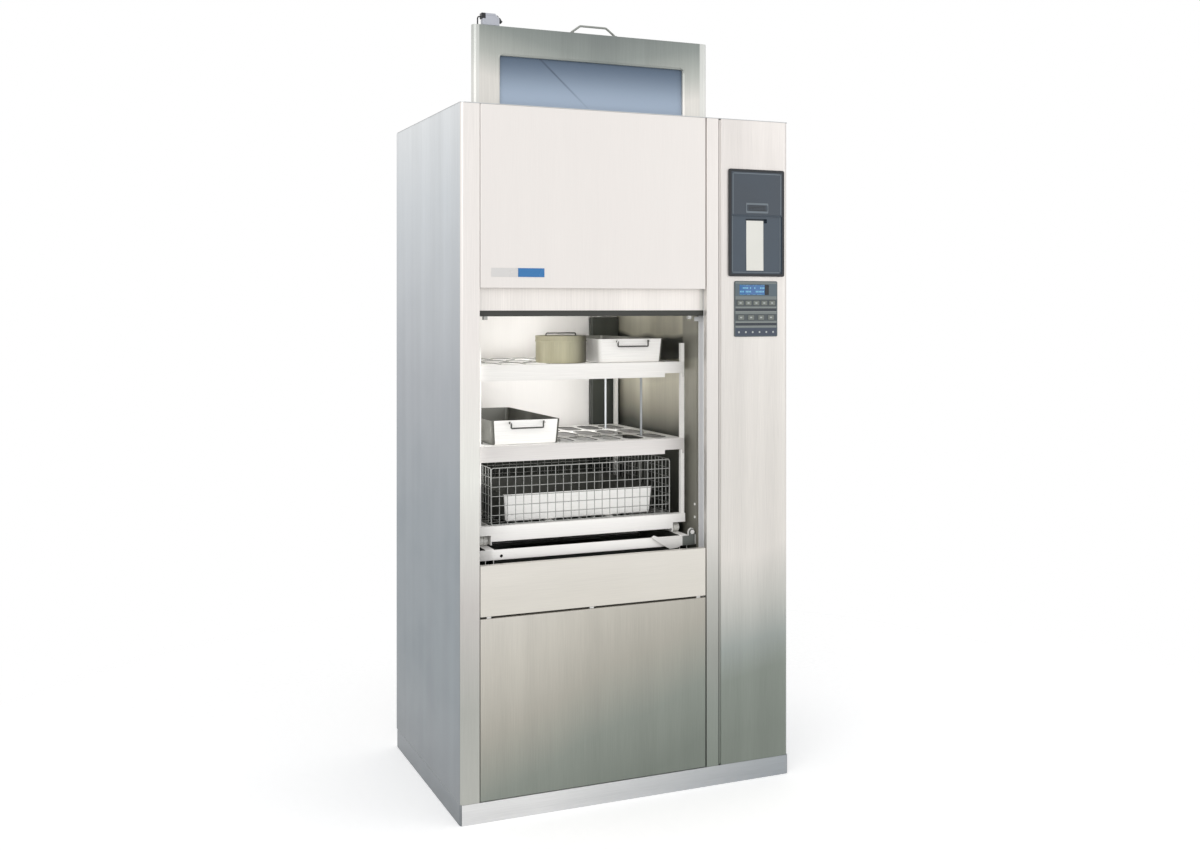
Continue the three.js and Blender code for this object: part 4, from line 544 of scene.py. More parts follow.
class Bench:
    """Modelling steps by operator. Each leaves its piece as the only selected object."""

    @staticmethod
    def clear() -> None:
        """Deselects every object."""
        bpy.ops.object.select_all(action="DESELECT")

    @staticmethod
    def alone(piece: Piece) -> None:
        """Selects one object and makes it active."""
        Bench.clear()
        piece.select_set(True)
        bpy.context.view_layer.objects.active = piece

    @staticmethod
    @contextmanager
    def editing(piece: Piece, mode: str = "FACE") -> Iterator[None]:
        """Opens a piece in edit mode with nothing selected, and closes it after."""
        Bench.alone(piece)
        bpy.ops.object.mode_set(mode="EDIT")
        bpy.ops.mesh.select_mode(type=mode)
        bpy.ops.mesh.select_all(action="DESELECT")
        yield
        bpy.ops.object.mode_set(mode="OBJECT")

    @staticmethod
    def pick(piece: Piece, kind: str, test: Callable[[object], bool]) -> None:
        """Selects the faces, edges or verts of the open piece that pass a test.

        Args:
            piece: the object in edit mode.
            kind: "faces", "edges" or "verts".
            test: says whether one of them is picked.
        """
        modes = {"faces": "FACE", "edges": "EDGE", "verts": "VERT"}
        bpy.ops.mesh.select_mode(type=modes[kind])
        bpy.ops.mesh.select_all(action="DESELECT")
        mesh = bmesh.from_edit_mesh(piece.data)
        for item in getattr(mesh, kind):
            if test(item):
                item.select_set(True)
        mesh.select_flush_mode()
        bmesh.update_edit_mesh(piece.data)

    @staticmethod
    def modified(piece: Piece, kind: str, **settings: object) -> None:
        """Adds a modifier with these settings and applies it."""
        Bench.alone(piece)
        made = piece.modifiers.new(kind.lower(), kind)
        for key, value in settings.items():
            setattr(made, key, value)
        bpy.ops.object.modifier_apply(modifier=made.name)

    @staticmethod
    def settle(piece: Piece, name: str) -> Piece:
        """Names a piece and puts its place into its mesh."""
        Bench.alone(piece)
        bpy.ops.object.transform_apply(location=True, rotation=True, scale=True)
        piece.name = name
        piece.data.name = name
        return piece

    @staticmethod
    def block(name: str, low: Point, high: Point, soften: float = 0.0, steps: int = 2) -> Piece:
        """A box between two corners, with softened edges.

        Args:
            name: the piece's name.
            low, high: its corners.
            soften: the width of its edge bevels.
            steps: the steps in each bevel.

        Returns:
            The piece.
        """
        Bench.clear()
        middle = [(a + b) / 2 for a, b in zip(low, high)]
        bpy.ops.mesh.primitive_cube_add(size=1, location=middle)
        piece = bpy.context.object
        piece.scale = [b - a for a, b in zip(low, high)]
        Bench.settle(piece, name)
        if soften:
            with Bench.editing(piece, "EDGE"):
                bpy.ops.mesh.select_all(action="SELECT")
                bpy.ops.mesh.bevel(offset=soften, segments=steps, affect="EDGES")
        return piece

    @staticmethod
    def upright_corners(piece: Piece, axis: int, radius: float, steps: int = 4) -> None:
        """Rounds the four edges of a box that run along one axis."""
        def along(edge: object) -> bool:
            step = edge.verts[1].co - edge.verts[0].co
            return abs(step[axis]) > 0.9 * step.length
        with Bench.editing(piece, "EDGE"):
            Bench.pick(piece, "edges", along)
            bpy.ops.mesh.bevel(offset=radius, segments=steps, affect="EDGES")

    @staticmethod
    def spun(name: str, base: Point, axis: str, profile: Sequence[tuple[float, float]], sides: int = 32
             ) -> Piece:
        """A turned piece, drawn up ring by ring from a disc.

        Args:
            name: the piece's name.
            base: the foot of its axis.
            axis: "X", "Y" or "Z".
            profile: (radius, height along the axis) of each ring, from the foot up.
            sides: the count of sides.

        Returns:
            The piece.
        """
        Bench.clear()
        first = profile[0]
        bpy.ops.mesh.primitive_circle_add(vertices=sides, radius=first[0], fill_type="NGON",
                                          location=(0, 0, first[1]))
        piece = bpy.context.object
        Bench.settle(piece, name)
        with Bench.editing(piece):
            bpy.ops.mesh.select_all(action="SELECT")
            radius, height = first
            for ring_radius, ring_height in profile[1:]:
                bpy.ops.mesh.extrude_region_move(TRANSFORM_OT_translate={"value": (0, 0, ring_height - height)})
                share = ring_radius / radius
                bpy.ops.transform.resize(value=(share, share, 1), center_override=(0, 0, ring_height))
                radius, height = ring_radius, ring_height
            bpy.ops.mesh.select_all(action="SELECT")
            bpy.ops.mesh.normals_make_consistent(inside=False)
        turn = {"X": (0, QUARTER, 0), "Y": (-QUARTER, 0, 0), "Z": (0, 0, 0)}[axis]
        piece.rotation_euler = turn
        piece.location = base
        return Bench.settle(piece, name)

    @staticmethod
    def rod(name: str, points: Sequence[Point], radius: float, bend: float, sides: int = 12, steps: int = 6
            ) -> Piece:
        """A round rod bent through points: a disc drawn along each run and spun round each bend.

        Args:
            name: the piece's name.
            points: the corners of its middle line.
            radius: the rod's own radius.
            bend: the radius of each bend.
            sides: the count of sides.
            steps: the steps in a full quarter bend.

        Returns:
            The piece.
        """
        line = [Vector(point) for point in points]
        Bench.clear()
        heading = (line[1] - line[0]).normalized()
        bpy.ops.mesh.primitive_circle_add(vertices=sides, radius=radius, fill_type="NGON")
        piece = bpy.context.object
        piece.rotation_mode = "QUATERNION"
        piece.rotation_quaternion = heading.to_track_quat("Z", "Y")
        piece.location = line[0]
        Bench.settle(piece, name)
        here = line[0]
        with Bench.editing(piece):
            bpy.ops.mesh.select_all(action="SELECT")
            for corner, after in zip(line[1:-1], line[2:]):
                onward = (after - corner).normalized()
                angle = heading.angle(onward)
                reach = bend * math.tan(angle / 2)
                start = corner - heading * reach
                bpy.ops.mesh.extrude_region_move(TRANSFORM_OT_translate={"value": start - here})
                axis = heading.cross(onward).normalized()
                centre = start + axis.cross(heading).normalized() * bend
                count = max(2, round(steps * angle / QUARTER))
                bpy.ops.mesh.spin(steps=count, angle=-angle, center=centre, axis=axis)
                here = corner + onward * reach
                heading = onward
            bpy.ops.mesh.extrude_region_move(TRANSFORM_OT_translate={"value": line[-1] - here})
            bpy.ops.mesh.select_all(action="SELECT")
            bpy.ops.mesh.remove_doubles(threshold=0.00001)
            bpy.ops.mesh.normals_make_consistent(inside=False)
        return piece

    @staticmethod
    def joined(name: str, pieces: Sequence[Piece]) -> Piece:
        """Joins pieces into one under a new name."""
        Bench.clear()
        for piece in pieces:
            piece.select_set(True)
        bpy.context.view_layer.objects.active = pieces[0]
        if len(pieces) > 1:
            bpy.ops.object.join()
        pieces[0].name = name
        pieces[0].data.name = name
        return pieces[0]

    @staticmethod
    def copied(piece: Piece, name: str, step: Point) -> Piece:
        """A copy of a piece with its own mesh, moved by a step."""
        Bench.alone(piece)
        bpy.ops.object.duplicate()
        copy = bpy.context.object
        copy.location = step
        return Bench.settle(copy, name)

    @staticmethod
    def softened(node: str, width: float, steps: int = 2) -> Piece:
        """A copy of a frame node with its loose faces joined, flat faces cleaned and edges bevelled.

        Args:
            node: the frame node.
            width: the width of the bevels, or 0 for none.
            steps: the steps in each bevel.

        Returns:
            The piece, not yet dressed.
        """
        piece = bpy.data.objects.new(f"{node}_skin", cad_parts[node].data.copy())
        bpy.context.scene.collection.objects.link(piece)
        with Bench.editing(piece, "VERT"):
            bpy.ops.mesh.select_all(action="SELECT")
            bpy.ops.mesh.remove_doubles(threshold=0.000002)
            bpy.ops.mesh.customdata_custom_splitnormals_clear()
            bpy.ops.mesh.dissolve_limited(angle_limit=FLAT)
        if width:
            Bench.modified(piece, "BEVEL", width=width, segments=steps, limit_method="ANGLE",
                           angle_limit=BEVELLED, use_clamp_overlap=False)
        return piece


class Dresser:
    """Gives each piece its finish and its body."""

    def __init__(self, palette: Palette) -> None:
        """Keeps the finishes."""
        self.palette = palette
        self.count = 0

    def carried(self, finish: Material, *nodes: str) -> None:
        """Gives frame nodes, kept as they are, a finish."""
        for node in nodes:
            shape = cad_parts[node]
            if not shape.material_slots:
                shape.data.materials.append(finish)
            for slot in shape.material_slots:
                slot.material = finish
            self.count += 1
            LOG.info("carried %s in %s", node, finish.name)

    def piece(self, piece: Piece, body: str, finish: Material, slot: str,
              replaces: Sequence[str] = ()) -> Piece:
        """Dresses a new piece.

        Args:
            piece: the finished shape.
            body: the body that it rides on.
            finish: its material.
            slot: a material slot's name; not used.
            replaces: the frame nodes that it stands for.

        Returns:
            The piece.
        """
        piece.data.materials.clear()
        piece.data.materials.append(finish)
        Bench.alone(piece)
        bpy.ops.object.shade_smooth_by_angle(angle=SMOOTH)
        Bench.modified(piece, "WEIGHTED_NORMAL", keep_sharp=True)
        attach(piece, body)
        nodes = list(replaces)
        if nodes:
            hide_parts(*nodes)
        self.count += 1
        LOG.info("made %s in %s on %s", piece.name, finish.name, body)
        return piece

    def soft(self, node: str, body: str, finish: Material, slot: str, width: float = 0.0006,
             steps: int = 2) -> Piece:
        """Replaces a frame node by its softened copy and dresses it."""
        return self.piece(Bench.softened(node, width, steps), body, finish, slot, [node])

    @staticmethod
    def refinish(piece: Piece, finish: Material, test: Callable[[Face], bool]) -> None:
        """Gives the faces of a dressed piece that pass a test one more finish."""
        piece.data.materials.append(finish)
        for face in piece.data.polygons:
            if test(face):
                face.material_index = len(piece.data.materials) - 1


def corners(node: str) -> tuple[Vector, Vector]:
    """The lowest and highest corner of a frame node."""
    low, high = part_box(node)
    return Vector(low), Vector(high)


@dataclass
class Assembly:
    """One sub-assembly of the machine, dressed by a dresser."""

    dresser: Dresser

    @property
    def palette(self) -> Palette:
        """The dresser's finishes."""
        return self.dresser.palette


@dataclass
class Cabinet(Assembly):
    """Outer panels, plinth and the small plates, clips and screws on them."""

    plate_low: tuple[float, float] = (0.031, 0.053)
    plate_size: tuple[float, float] = (0.159, 0.025)
    blue_share: float = 0.5
    clip_places: tuple[float, ...] = (0.019, 0.33, 0.675)
    clip: tuple[float, float] = (0.013, 0.0045)
    screw: float = 0.0042
    flange: float = 0.0042
    seam: float = 0.0068
    sink: float = 0.0013
    vent: tuple[float, float] = (0.412, 0.555)
    vent_radius: float = 0.045
    front_edge: float = 0.0012
    sheet_edge: float = 0.0007
    post_depth: float = 0.012
    screw_rows: int = 7
    screw_rise: float = 0.04
    hole_share: float = 1.12
    hole_depth: float = 0.006

    def build(self) -> None:
        """Dresses the panels and makes the fittings."""
        palette, dresser = self.palette, self.dresser
        for node, finish in (("upper_front_panel", palette.upper), ("middle_front_panel", palette.middle),
                             ("lower_front_panel", palette.front), ("right_post", palette.right),
                             ("control_column", palette.column), ("plinth", palette.plinth),
                             ("left_side_panel", palette.side), ("right_side_panel", palette.side),
                             ("back_panel", palette.back)):
            wide = self.front_edge if node.endswith("front_panel") else self.sheet_edge
            dresser.soft(node, "cabinet", finish, "panel", wide)
        # the side panel's front return takes the brighter post tones and the plinth's ends take the darker
        # plinth_side tones: painted light and shade on one steel
        self.second_faces("left_side_panel", palette.post, lambda face, low: face.normal.y < -0.35
                          and face.center.y < low.y + self.post_depth)
        self.second_faces("plinth", palette.plinth_side, lambda face, low: abs(face.normal.x) > 0.5)
        dresser.carried(palette.top, "top_cover")
        self.seam_flange()
        self.vent_collar()
        self.plates()
        self.clips()
        self.screws()

    @staticmethod
    def second_faces(node: str, finish: Material, test: Callable[[Face, Vector], bool]) -> None:
        """Gives the faces of a panel that pass a test a second finish."""
        low = corners(node)[0]
        Dresser.refinish(bpy.data.objects[f"{node}_skin"], finish, lambda face: test(face, low))

    def seam_flange(self) -> None:
        """The column's folded flange, seen set back in the seam beside the right post."""
        low, high = corners("control_column")
        strip = Bench.block("flange", (low.x - self.flange, low.y + 0.003, low.z + 0.003),
                            (low.x - 0.0001, low.y + 0.006, high.z - 0.003), 0.0006)
        fold = Bench.block("fold", (low.x - self.seam, low.y + 0.012, low.z + 0.003),
                           (low.x - 0.0001, low.y + 0.0135, high.z - 0.003), 0.0004)
        self.dresser.piece(Bench.joined("column_flange", [strip, fold]), "cabinet", self.palette.right,
                           "panel")

    def vent_collar(self) -> None:
        """A rolled collar round the roof's vent hole."""
        low, high = corners("top_cover")
        x, y = (low.x + self.vent[0], low.y + self.vent[1])
        r = self.vent_radius
        collar = Bench.spun("vent_collar", (x, y, high.z - 0.0002), "Z",
                            [(r + 0.009, 0.0), (r + 0.009, 0.0012), (r + 0.0065, 0.0022)], 48)
        with Bench.editing(collar):
            Bench.pick(collar, "faces", lambda face: abs(face.normal.z) > 0.95 and len(face.verts) > 20)
            bpy.ops.mesh.inset(thickness=0.0085)
            bpy.ops.mesh.bridge_edge_loops()
        self.dresser.piece(collar, "cabinet", self.palette.bright, "panel")

    def plates(self) -> None:
        """Two bare plates side by side, low on the upper panel."""
        palette = self.palette
        low, _ = corners("upper_front_panel")
        x0, z0 = low.x + self.plate_low[0], low.z + self.plate_low[1] - 0.022
        split = x0 + self.plate_size[0] * self.blue_share
        for name, left, right, finish in (("plate_pale", x0, split, palette.card),
                                          ("plate_blue", split, x0 + self.plate_size[0], palette.blue)):
            plate = Bench.block(name, (left + 0.0003, low.y - 0.0012, z0),
                                (right - 0.0003, low.y, z0 + self.plate_size[1]), 0.0004)
            self.dresser.piece(plate, "cabinet", finish, "panel")

    def clips(self) -> None:
        """Bright spring clips in the gap over the lower panel."""
        low, high = corners("lower_front_panel")
        above, _ = corners("middle_front_panel")
        pieces = []
        for place in self.clip_places:
            x = low.x + place
            pieces.append(Bench.block("clip", (x, low.y + 0.0015, high.z + 0.0003),
                                      (x + self.clip[0], low.y + 0.008, above.z - 0.0003), 0.0006))
        self.dresser.piece(Bench.joined("panel_clips", pieces), "cabinet", self.palette.bright,
                           "bright_steel")

    def screws(self) -> None:
        """Pan-head screws down the back panel's edges and round the roof."""
        low, high = corners("back_panel")
        roof_low, roof_high = corners("top_cover")
        r = self.screw
        head = [(r, 0.0), (r, r * 0.25), (r * 0.8, r * 0.5), (r * 0.35, r * 0.6)]
        rear = Bench.spun("screw", (0, 0, 0), "Y", [(r, 0.0), (r, 0.0006), (r * 0.7, 0.0010), (r * 0.3, 0.0011)], 12)
        lid = Bench.spun("screw_up", (0, 0, 0), "Z", head, 12)
        rear_places = [(x, high.y - self.sink, low.z + self.screw_rise + i * (high.z - low.z - 2 * self.screw_rise)
                        / (self.screw_rows - 1))
                       for x in (low.x + 0.012, high.x - 0.012) for i in range(self.screw_rows)]
        lid_places = [(x, y, roof_high.z - 0.0001) for x in (roof_low.x + 0.02, roof_high.x - 0.02)
                      for y in (roof_low.y + 0.09, (roof_low.y + roof_high.y) / 2, roof_high.y - 0.02)]
        self.countersink("back_panel", rear_places)
        for name, first, places in (("back_screws", rear, rear_places), ("roof_screws", lid, lid_places)):
            copies = [Bench.copied(first, name, place) for place in places]
            bpy.data.objects.remove(first)
            self.dresser.piece(Bench.joined(name, copies), "cabinet", self.palette.bright, "bright_steel")

    def countersink(self, panel: str, places: Sequence[Point]) -> None:
        """Cuts a round hole in a panel's skin at each place, a little wider than a screw's head."""
        skin = bpy.data.objects[f"{panel}_skin"]
        r, deep = self.screw * self.hole_share, self.hole_depth
        tools = [Bench.spun("cutter", (x, y - deep, z), "Y", [(r, 0.0), (r, 2 * deep)], 16)
                 for x, y, z in places]
        cutter = Bench.joined("cutter", tools)
        Bench.modified(skin, "BOOLEAN", object=cutter, operation="DIFFERENCE", solver="EXACT")
        bpy.data.objects.remove(cutter)


@dataclass
class Door(Assembly):
    """The rising door: leaf, glass, seal, lifting bail, sensor and its lead."""

    ears: tuple[float, float] = (0.012, 0.043)
    fold: float = 0.012
    window_low: tuple[float, float] = (0.075, 0.0737)
    window_high: tuple[float, float] = (0.106, 0.076)
    window_corner: float = 0.0045
    lining: float = 0.0016
    window_rounds: tuple[tuple[float, float], ...] = ((0.0, 0.01881), (0.006, 0.0140))
    bail_wire: float = 0.0031
    bail_bend: float = 0.010
    lead: float = 0.002
    case: float = 0.050
    shoulder: float = 0.013
    droop: float = 42.0

    def build(self) -> None:
        """Dresses the leaf and makes its fittings."""
        palette, dresser = self.palette, self.dresser
        leaf_low, leaf_high = corners("door_frame")
        middle = (leaf_low.x + leaf_high.x) / 2 + 0.01
        # the leaf's tones and their dip are painted light and shade, and the pale tints beyond the folds are painted
        # highlights on the leaf's edges
        pale = srgb(222, 223, 219)
        right, left = leaf_high.x - self.ears[1] - self.fold, leaf_low.x + self.ears[0] + self.fold / 2
        edges = (Tint("X", right - 0.002, right, pale, 0.75), Tint("X", left + 0.002, left, pale, 0.6))
        leaf = Brushed("door_sheet", DOOR_TONES, slant=-0.02, rough=0.4, wander=0.01, dip=Dip(middle, 0.36, 0.085),
                       tints=edges).build()
        sheet = Bench.softened("door_frame", 0.0008)
        self.squared_window(sheet)
        dresser.piece(sheet, "door", leaf, "door_steel", ["door_frame"])
        low, high = corners("door_glass")
        # the glass carries a painted reflection and a painted reflection line
        streak = Pane("door_pane", srgb(90, 109, 131), srgb(180, 197, 218), srgb(104, 118, 132),
                      high.z, high.z - 0.14, (low.x + 0.136, high.z - 0.012), 1.12)
        dresser.carried(streak.build(), "door_glass")
        dresser.carried(palette.rubber, "door_seal")
        self.reveal_shade_gasket(low.y)
        self.bail()
        self.sensor()
        self.shoes()

    def reveal_shade_gasket(self, glass_front: float) -> None:
        """A black rubber lining of the window's reveal, from the glass nearly to the front: partly a real gasket,
        partly painted shade in the reveal.
        """
        leaf_low, leaf_high = corners("door_frame")
        front, back = leaf_low.y + 0.0022, glass_front - 0.0003
        x0, x1 = leaf_low.x + self.window_low[0], leaf_high.x - self.window_high[0]
        z0, z1 = leaf_low.z + self.window_low[1], leaf_high.z - self.window_high[1]
        ring = Bench.block("window_lining_reveal_shade", (x0, front, z0), (x1, back, z1))
        Bench.upright_corners(ring, 1, self.window_corner, 5)
        with Bench.editing(ring):
            Bench.pick(ring, "faces", lambda face: abs(face.normal.y) > FACING)
            bpy.ops.mesh.inset(thickness=self.lining, use_boundary=True)
            bpy.ops.mesh.bridge_edge_loops()
        self.dresser.piece(ring, "door", self.palette.rubber, "seal")

    def squared_window(self, leaf: Piece) -> None:
        """Draws the window's four round corners out until they are nearly square."""
        low, high = corners("door_frame")
        x0, x1 = low.x + self.window_low[0], high.x - self.window_high[0]
        z0, z1 = low.z + self.window_low[1], high.z - self.window_high[1]
        new = self.window_corner
        for inset, old in self.window_rounds:
            for x, z, right, up in ((x0, z0, 1, 1), (x1, z0, -1, 1), (x1, z1, -1, -1), (x0, z1, 1, -1)):
                edge, level = x + right * inset, z + up * inset
                for vert in leaf.data.vertices:
                    across = (edge + right * old - vert.co.x) * right
                    along = (level + up * old - vert.co.z) * up
                    reach = math.hypot(across, along)
                    if min(across, along) < -0.00005 or not old - 0.0005 < reach < old + 0.0015:
                        continue
                    fresh = new + reach - old
                    vert.co.x = edge + right * (new - across / reach * fresh)
                    vert.co.z = level + up * (new - along / reach * fresh)

    def bail(self) -> None:
        """The wire bail on the door's top edge, on two pads."""
        low, high = corners("door_bail")
        y = (low.y + high.y) / 2
        wire = self.bail_wire
        x0, x1 = low.x + 0.006, high.x - 0.006
        inset = (x1 - x0) * 0.2
        foot, top = low.z + wire, high.z - wire
        rod = Bench.rod("bail", [(x0, y, foot), (x0 + inset, y, top), (x1 - inset, y, top), (x1, y, foot)],
                        wire, self.bail_bend, 14, 10)
        pads = []
        for x in (x0, x1):
            pad = Bench.block("pad", (x - 0.006, y - 0.006, low.z), (x + 0.006, y + 0.006, low.z + 0.0026), 0.0007)
            pads.append(pad)
        self.dresser.piece(Bench.joined("door_bail_rod", [rod, *pads]), "door", self.palette.dark,
                           "bright_steel", ["door_bail"])

    def sensor(self) -> None:
        """The position sensor: a moulded case with a sloping shoulder, a ribbed plug, and its black lead."""
        palette = self.palette
        low, high = corners("sensor_box")
        split = low.x + self.case
        case = Bench.block("case", tuple(low), (split, high.y, high.z))
        with Bench.editing(case):
            Bench.pick(case, "edges", lambda edge: all(vert.co.x > split - 0.001 and vert.co.z > high.z - 0.001
                                                       for vert in edge.verts))
            bpy.ops.mesh.bevel(offset=self.shoulder, segments=1, affect="EDGES")
            bpy.ops.mesh.select_all(action="SELECT")
            bpy.ops.mesh.bevel(offset=0.0018, segments=3, affect="EDGES")
            Bench.pick(case, "faces", lambda face: face.normal.y < -0.99)
            bpy.ops.mesh.inset(thickness=0.004)
            bpy.ops.mesh.inset(thickness=0.0006, depth=-0.0008)
        ring = [(0.0068, 0.0), (0.0068, 0.005), (0.0056, 0.006), (0.0056, 0.008), (0.0068, 0.009),
                (0.0068, 0.014), (0.0052, 0.016), (0.0052, 0.022), (0.0036, 0.023)]
        plug = Bench.spun("plug", (0.0, 0.0, 0.0), "Z", ring, 24)
        plug.rotation_euler = (0.0, QUARTER + math.radians(self.droop), 0.0)
        plug.location = (split - self.shoulder * 0.5 - 0.002, (low.y + high.y) / 2,
                         high.z - self.shoulder * 0.5 - 0.001)
        Bench.settle(plug, "plug")
        box_low, box_high = corners("sensor_lead")
        y0, y1 = (low.y + high.y) / 2, box_high.y - 0.0035 - self.lead
        x = box_low.x + self.lead + 0.002
        z = high.z - 0.010
        line = [(low.x + 0.001, y0, z), (x, y0, z), (x, y1, z), (x, y1, box_low.z + 0.006)]
        lead = Bench.rod("lead", line, self.lead, 0.0052, 10, 6)
        gland = Bench.spun("gland", (x, y1 - 0.0035, box_low.z + 0.006), "Y",
                           [(0.005, 0.0), (0.005, 0.003), (0.0035, 0.0055)], 16)
        collar = Bench.block("collar", (low.x - 0.0035, low.y - 0.0004, z - 0.006),
                             (low.x + 0.009, high.y - 0.001, high.z + 0.0), 0.0015, 3)
        self.dresser.piece(case, "door", palette.grey, "grey_plastic", ["sensor_box"])
        self.dresser.piece(Bench.joined("sensor_plug", [plug, collar]), "door", palette.black, "grey_plastic")
        self.dresser.piece(Bench.joined("sensor_cable", [lead, gland]), "door", palette.black, "lead_sheath",
                           ["sensor_lead"])

    def shoes(self) -> None:
        """Two small guide shoes under the seal's ends."""
        low, high = corners("door_seal")
        pieces = [Bench.block("shoe", (x, low.y + 0.003, low.z - 0.010),
                              (x + 0.012, low.y + 0.015, low.z + 0.001), 0.0008)
                  for x in (low.x + 0.031, high.x - 0.060)]
        self.dresser.piece(Bench.joined("door_shoes", pieces), "door", self.palette.wire, "bright_steel")


@dataclass
class Chamber(Assembly):
    """The wash chamber with its guides, rails, lever and the bolts on them."""

    mouth: float = 0.098
    bolt: float = 0.0042
    bolt_depth: float = 0.0107
    bolt_heights: tuple[float, float] = (0.837, 0.798)
    wall: float = 0.022
    eye: float = 0.040
    sill_depth: float = 0.020
    foot: float = 0.1
    rear_reach: float = 0.01
    left_reach: float = 0.03
    roof_reach: float = 0.02
    floor_rise: tuple[float, float] = (0.05, 0.13)

    def build(self) -> None:
        """Dresses the chamber and adds the bolts."""
        palette, dresser = self.palette, self.dresser
        low, high = corners("chamber")
        mouth = low.y + self.mouth
        shade = Tint("Y", mouth, mouth - 0.012, srgb(150, 148, 137), 0.85)
        # the wall's dark tones below the middle deck, and its dark band from 1.268 to 1.33 m beside the upper tray,
        # are painted shade
        wall = Brushed("chamber_steel", ((0.7, srgb(66, 68, 63)), (1.05, srgb(92, 93, 86)),
                                         (1.11, srgb(172, 168, 152)), (1.2, srgb(236, 231, 211)),
                                         (1.255, srgb(220, 216, 197)), (1.268, srgb(66, 67, 62)),
                                         (1.33, srgb(72, 73, 67)), (1.345, srgb(206, 202, 183)),
                                         (1.42, srgb(214, 210, 192))),
                       metal=0.25, rough=0.32, band=0.08, tints=(shade,)).build()
        dresser.soft("chamber", "cabinet", wall, "chamber_steel", 0.0)
        self.rear_wall(low, high)
        # the water column's near-black tone is painted shade
        dresser.carried(palette.duct, "water_column")
        dresser.soft("door_guide_left", "cabinet", palette.dark, "bright_steel", 0.0004)
        guide = dresser.soft("door_guide_right", "cabinet", palette.dark, "bright_steel", 0.0004)
        # the right guide's front- and left-facing faces take the near-white lit copy, and the rest keeps the darker
        # guide steel: painted highlight and shade
        guide.data.materials.append(palette.lip)
        for face in guide.data.polygons:
            if face.normal.y < -FACING or face.normal.x < -FACING:
                face.material_index = 1
        rails = dresser.soft("rail_frame", "cabinet", palette.base, "bright_steel", 0.0)
        rails.data.materials.append(palette.shaded)
        front = corners("rail_frame")[0].y + self.sill_depth
        for face in rails.data.polygons:
            if face.center.y > front and abs(face.normal.z) < FACING:
                face.material_index = 1
        # the lever darkens beyond the eye, towards its right end, and its edge faces take the shaded steel: painted
        # shade
        eye = corners("latch_lever")[1].x - self.eye
        lever = Brushed("lever_steel", ((0.7, srgb(238, 236, 233)), (0.77, srgb(246, 244, 241))), grain=Grain.ACROSS,
                        metal=0.1, tints=(Tint("X", eye - 0.004, eye, srgb(104, 108, 104)),)).build()
        arm = dresser.soft("latch_lever", "lever", lever, "bright_steel", 0.0006)
        arm.data.materials.append(palette.shaded)
        for face in arm.data.polygons:
            if abs(face.normal.y) < 0.3 and face.normal.z < 0.5:
                face.material_index = 1
        self.bolts()

    def rear_wall(self, low: Vector, high: Vector) -> None:
        """Gives the chamber's rear wall, left wall and roof a near-white painted light, brighter than the rest, and
        painted shade low down.
        """
        piece = bpy.data.objects["chamber_skin"]
        # near white above 1.0 m is painted light, and dark below it is painted shade
        painted_light_and_shade = Brushed("rear_wall_steel", ((0.9, srgb(60, 62, 56)), (0.985, srgb(84, 84, 78)),
                                             (1.0, srgb(246, 243, 240)), (1.42, srgb(250, 248, 245))),
                         metal=0.0, rough=0.5, streak=0.02, band=0.01, wander=0.0).build()

        def gets_painted_light_and_shade(face: Face) -> bool:
            rear = face.normal.y < -FACING and face.center.y > high.y - self.rear_reach
            left = face.normal.x > FACING and face.center.x < low.x + self.left_reach
            roof = face.normal.z < -FACING and face.center.z > high.z - self.roof_reach
            return low.z + self.foot < face.center.z and (rear or left or roof)
        Dresser.refinish(piece, painted_light_and_shade, gets_painted_light_and_shade)
        # the chamber floor's near-black tone is painted shade
        start, end = (low.z + rise for rise in self.floor_rise)
        Dresser.refinish(piece, self.palette.duct,
                         lambda face: face.normal.z > FACING and start < face.center.z < end)

    def bolts(self) -> None:
        """Domed bolts near the mouth on the chamber's right wall."""
        low, high = corners("chamber")
        r = self.bolt
        head = [(r * 0.4, -r * 0.65), (r * 0.8, -r * 0.5), (r, -r * 0.2), (r, 0.0)]
        pieces = [Bench.spun("bolt", (high.x - self.wall, low.y + self.bolt_depth, z), "X", head, 16)
                  for z in self.bolt_heights]
        self.dresser.piece(Bench.joined("mouth_bolts", pieces), "cabinet", self.palette.nylon,
                           "chamber_steel")


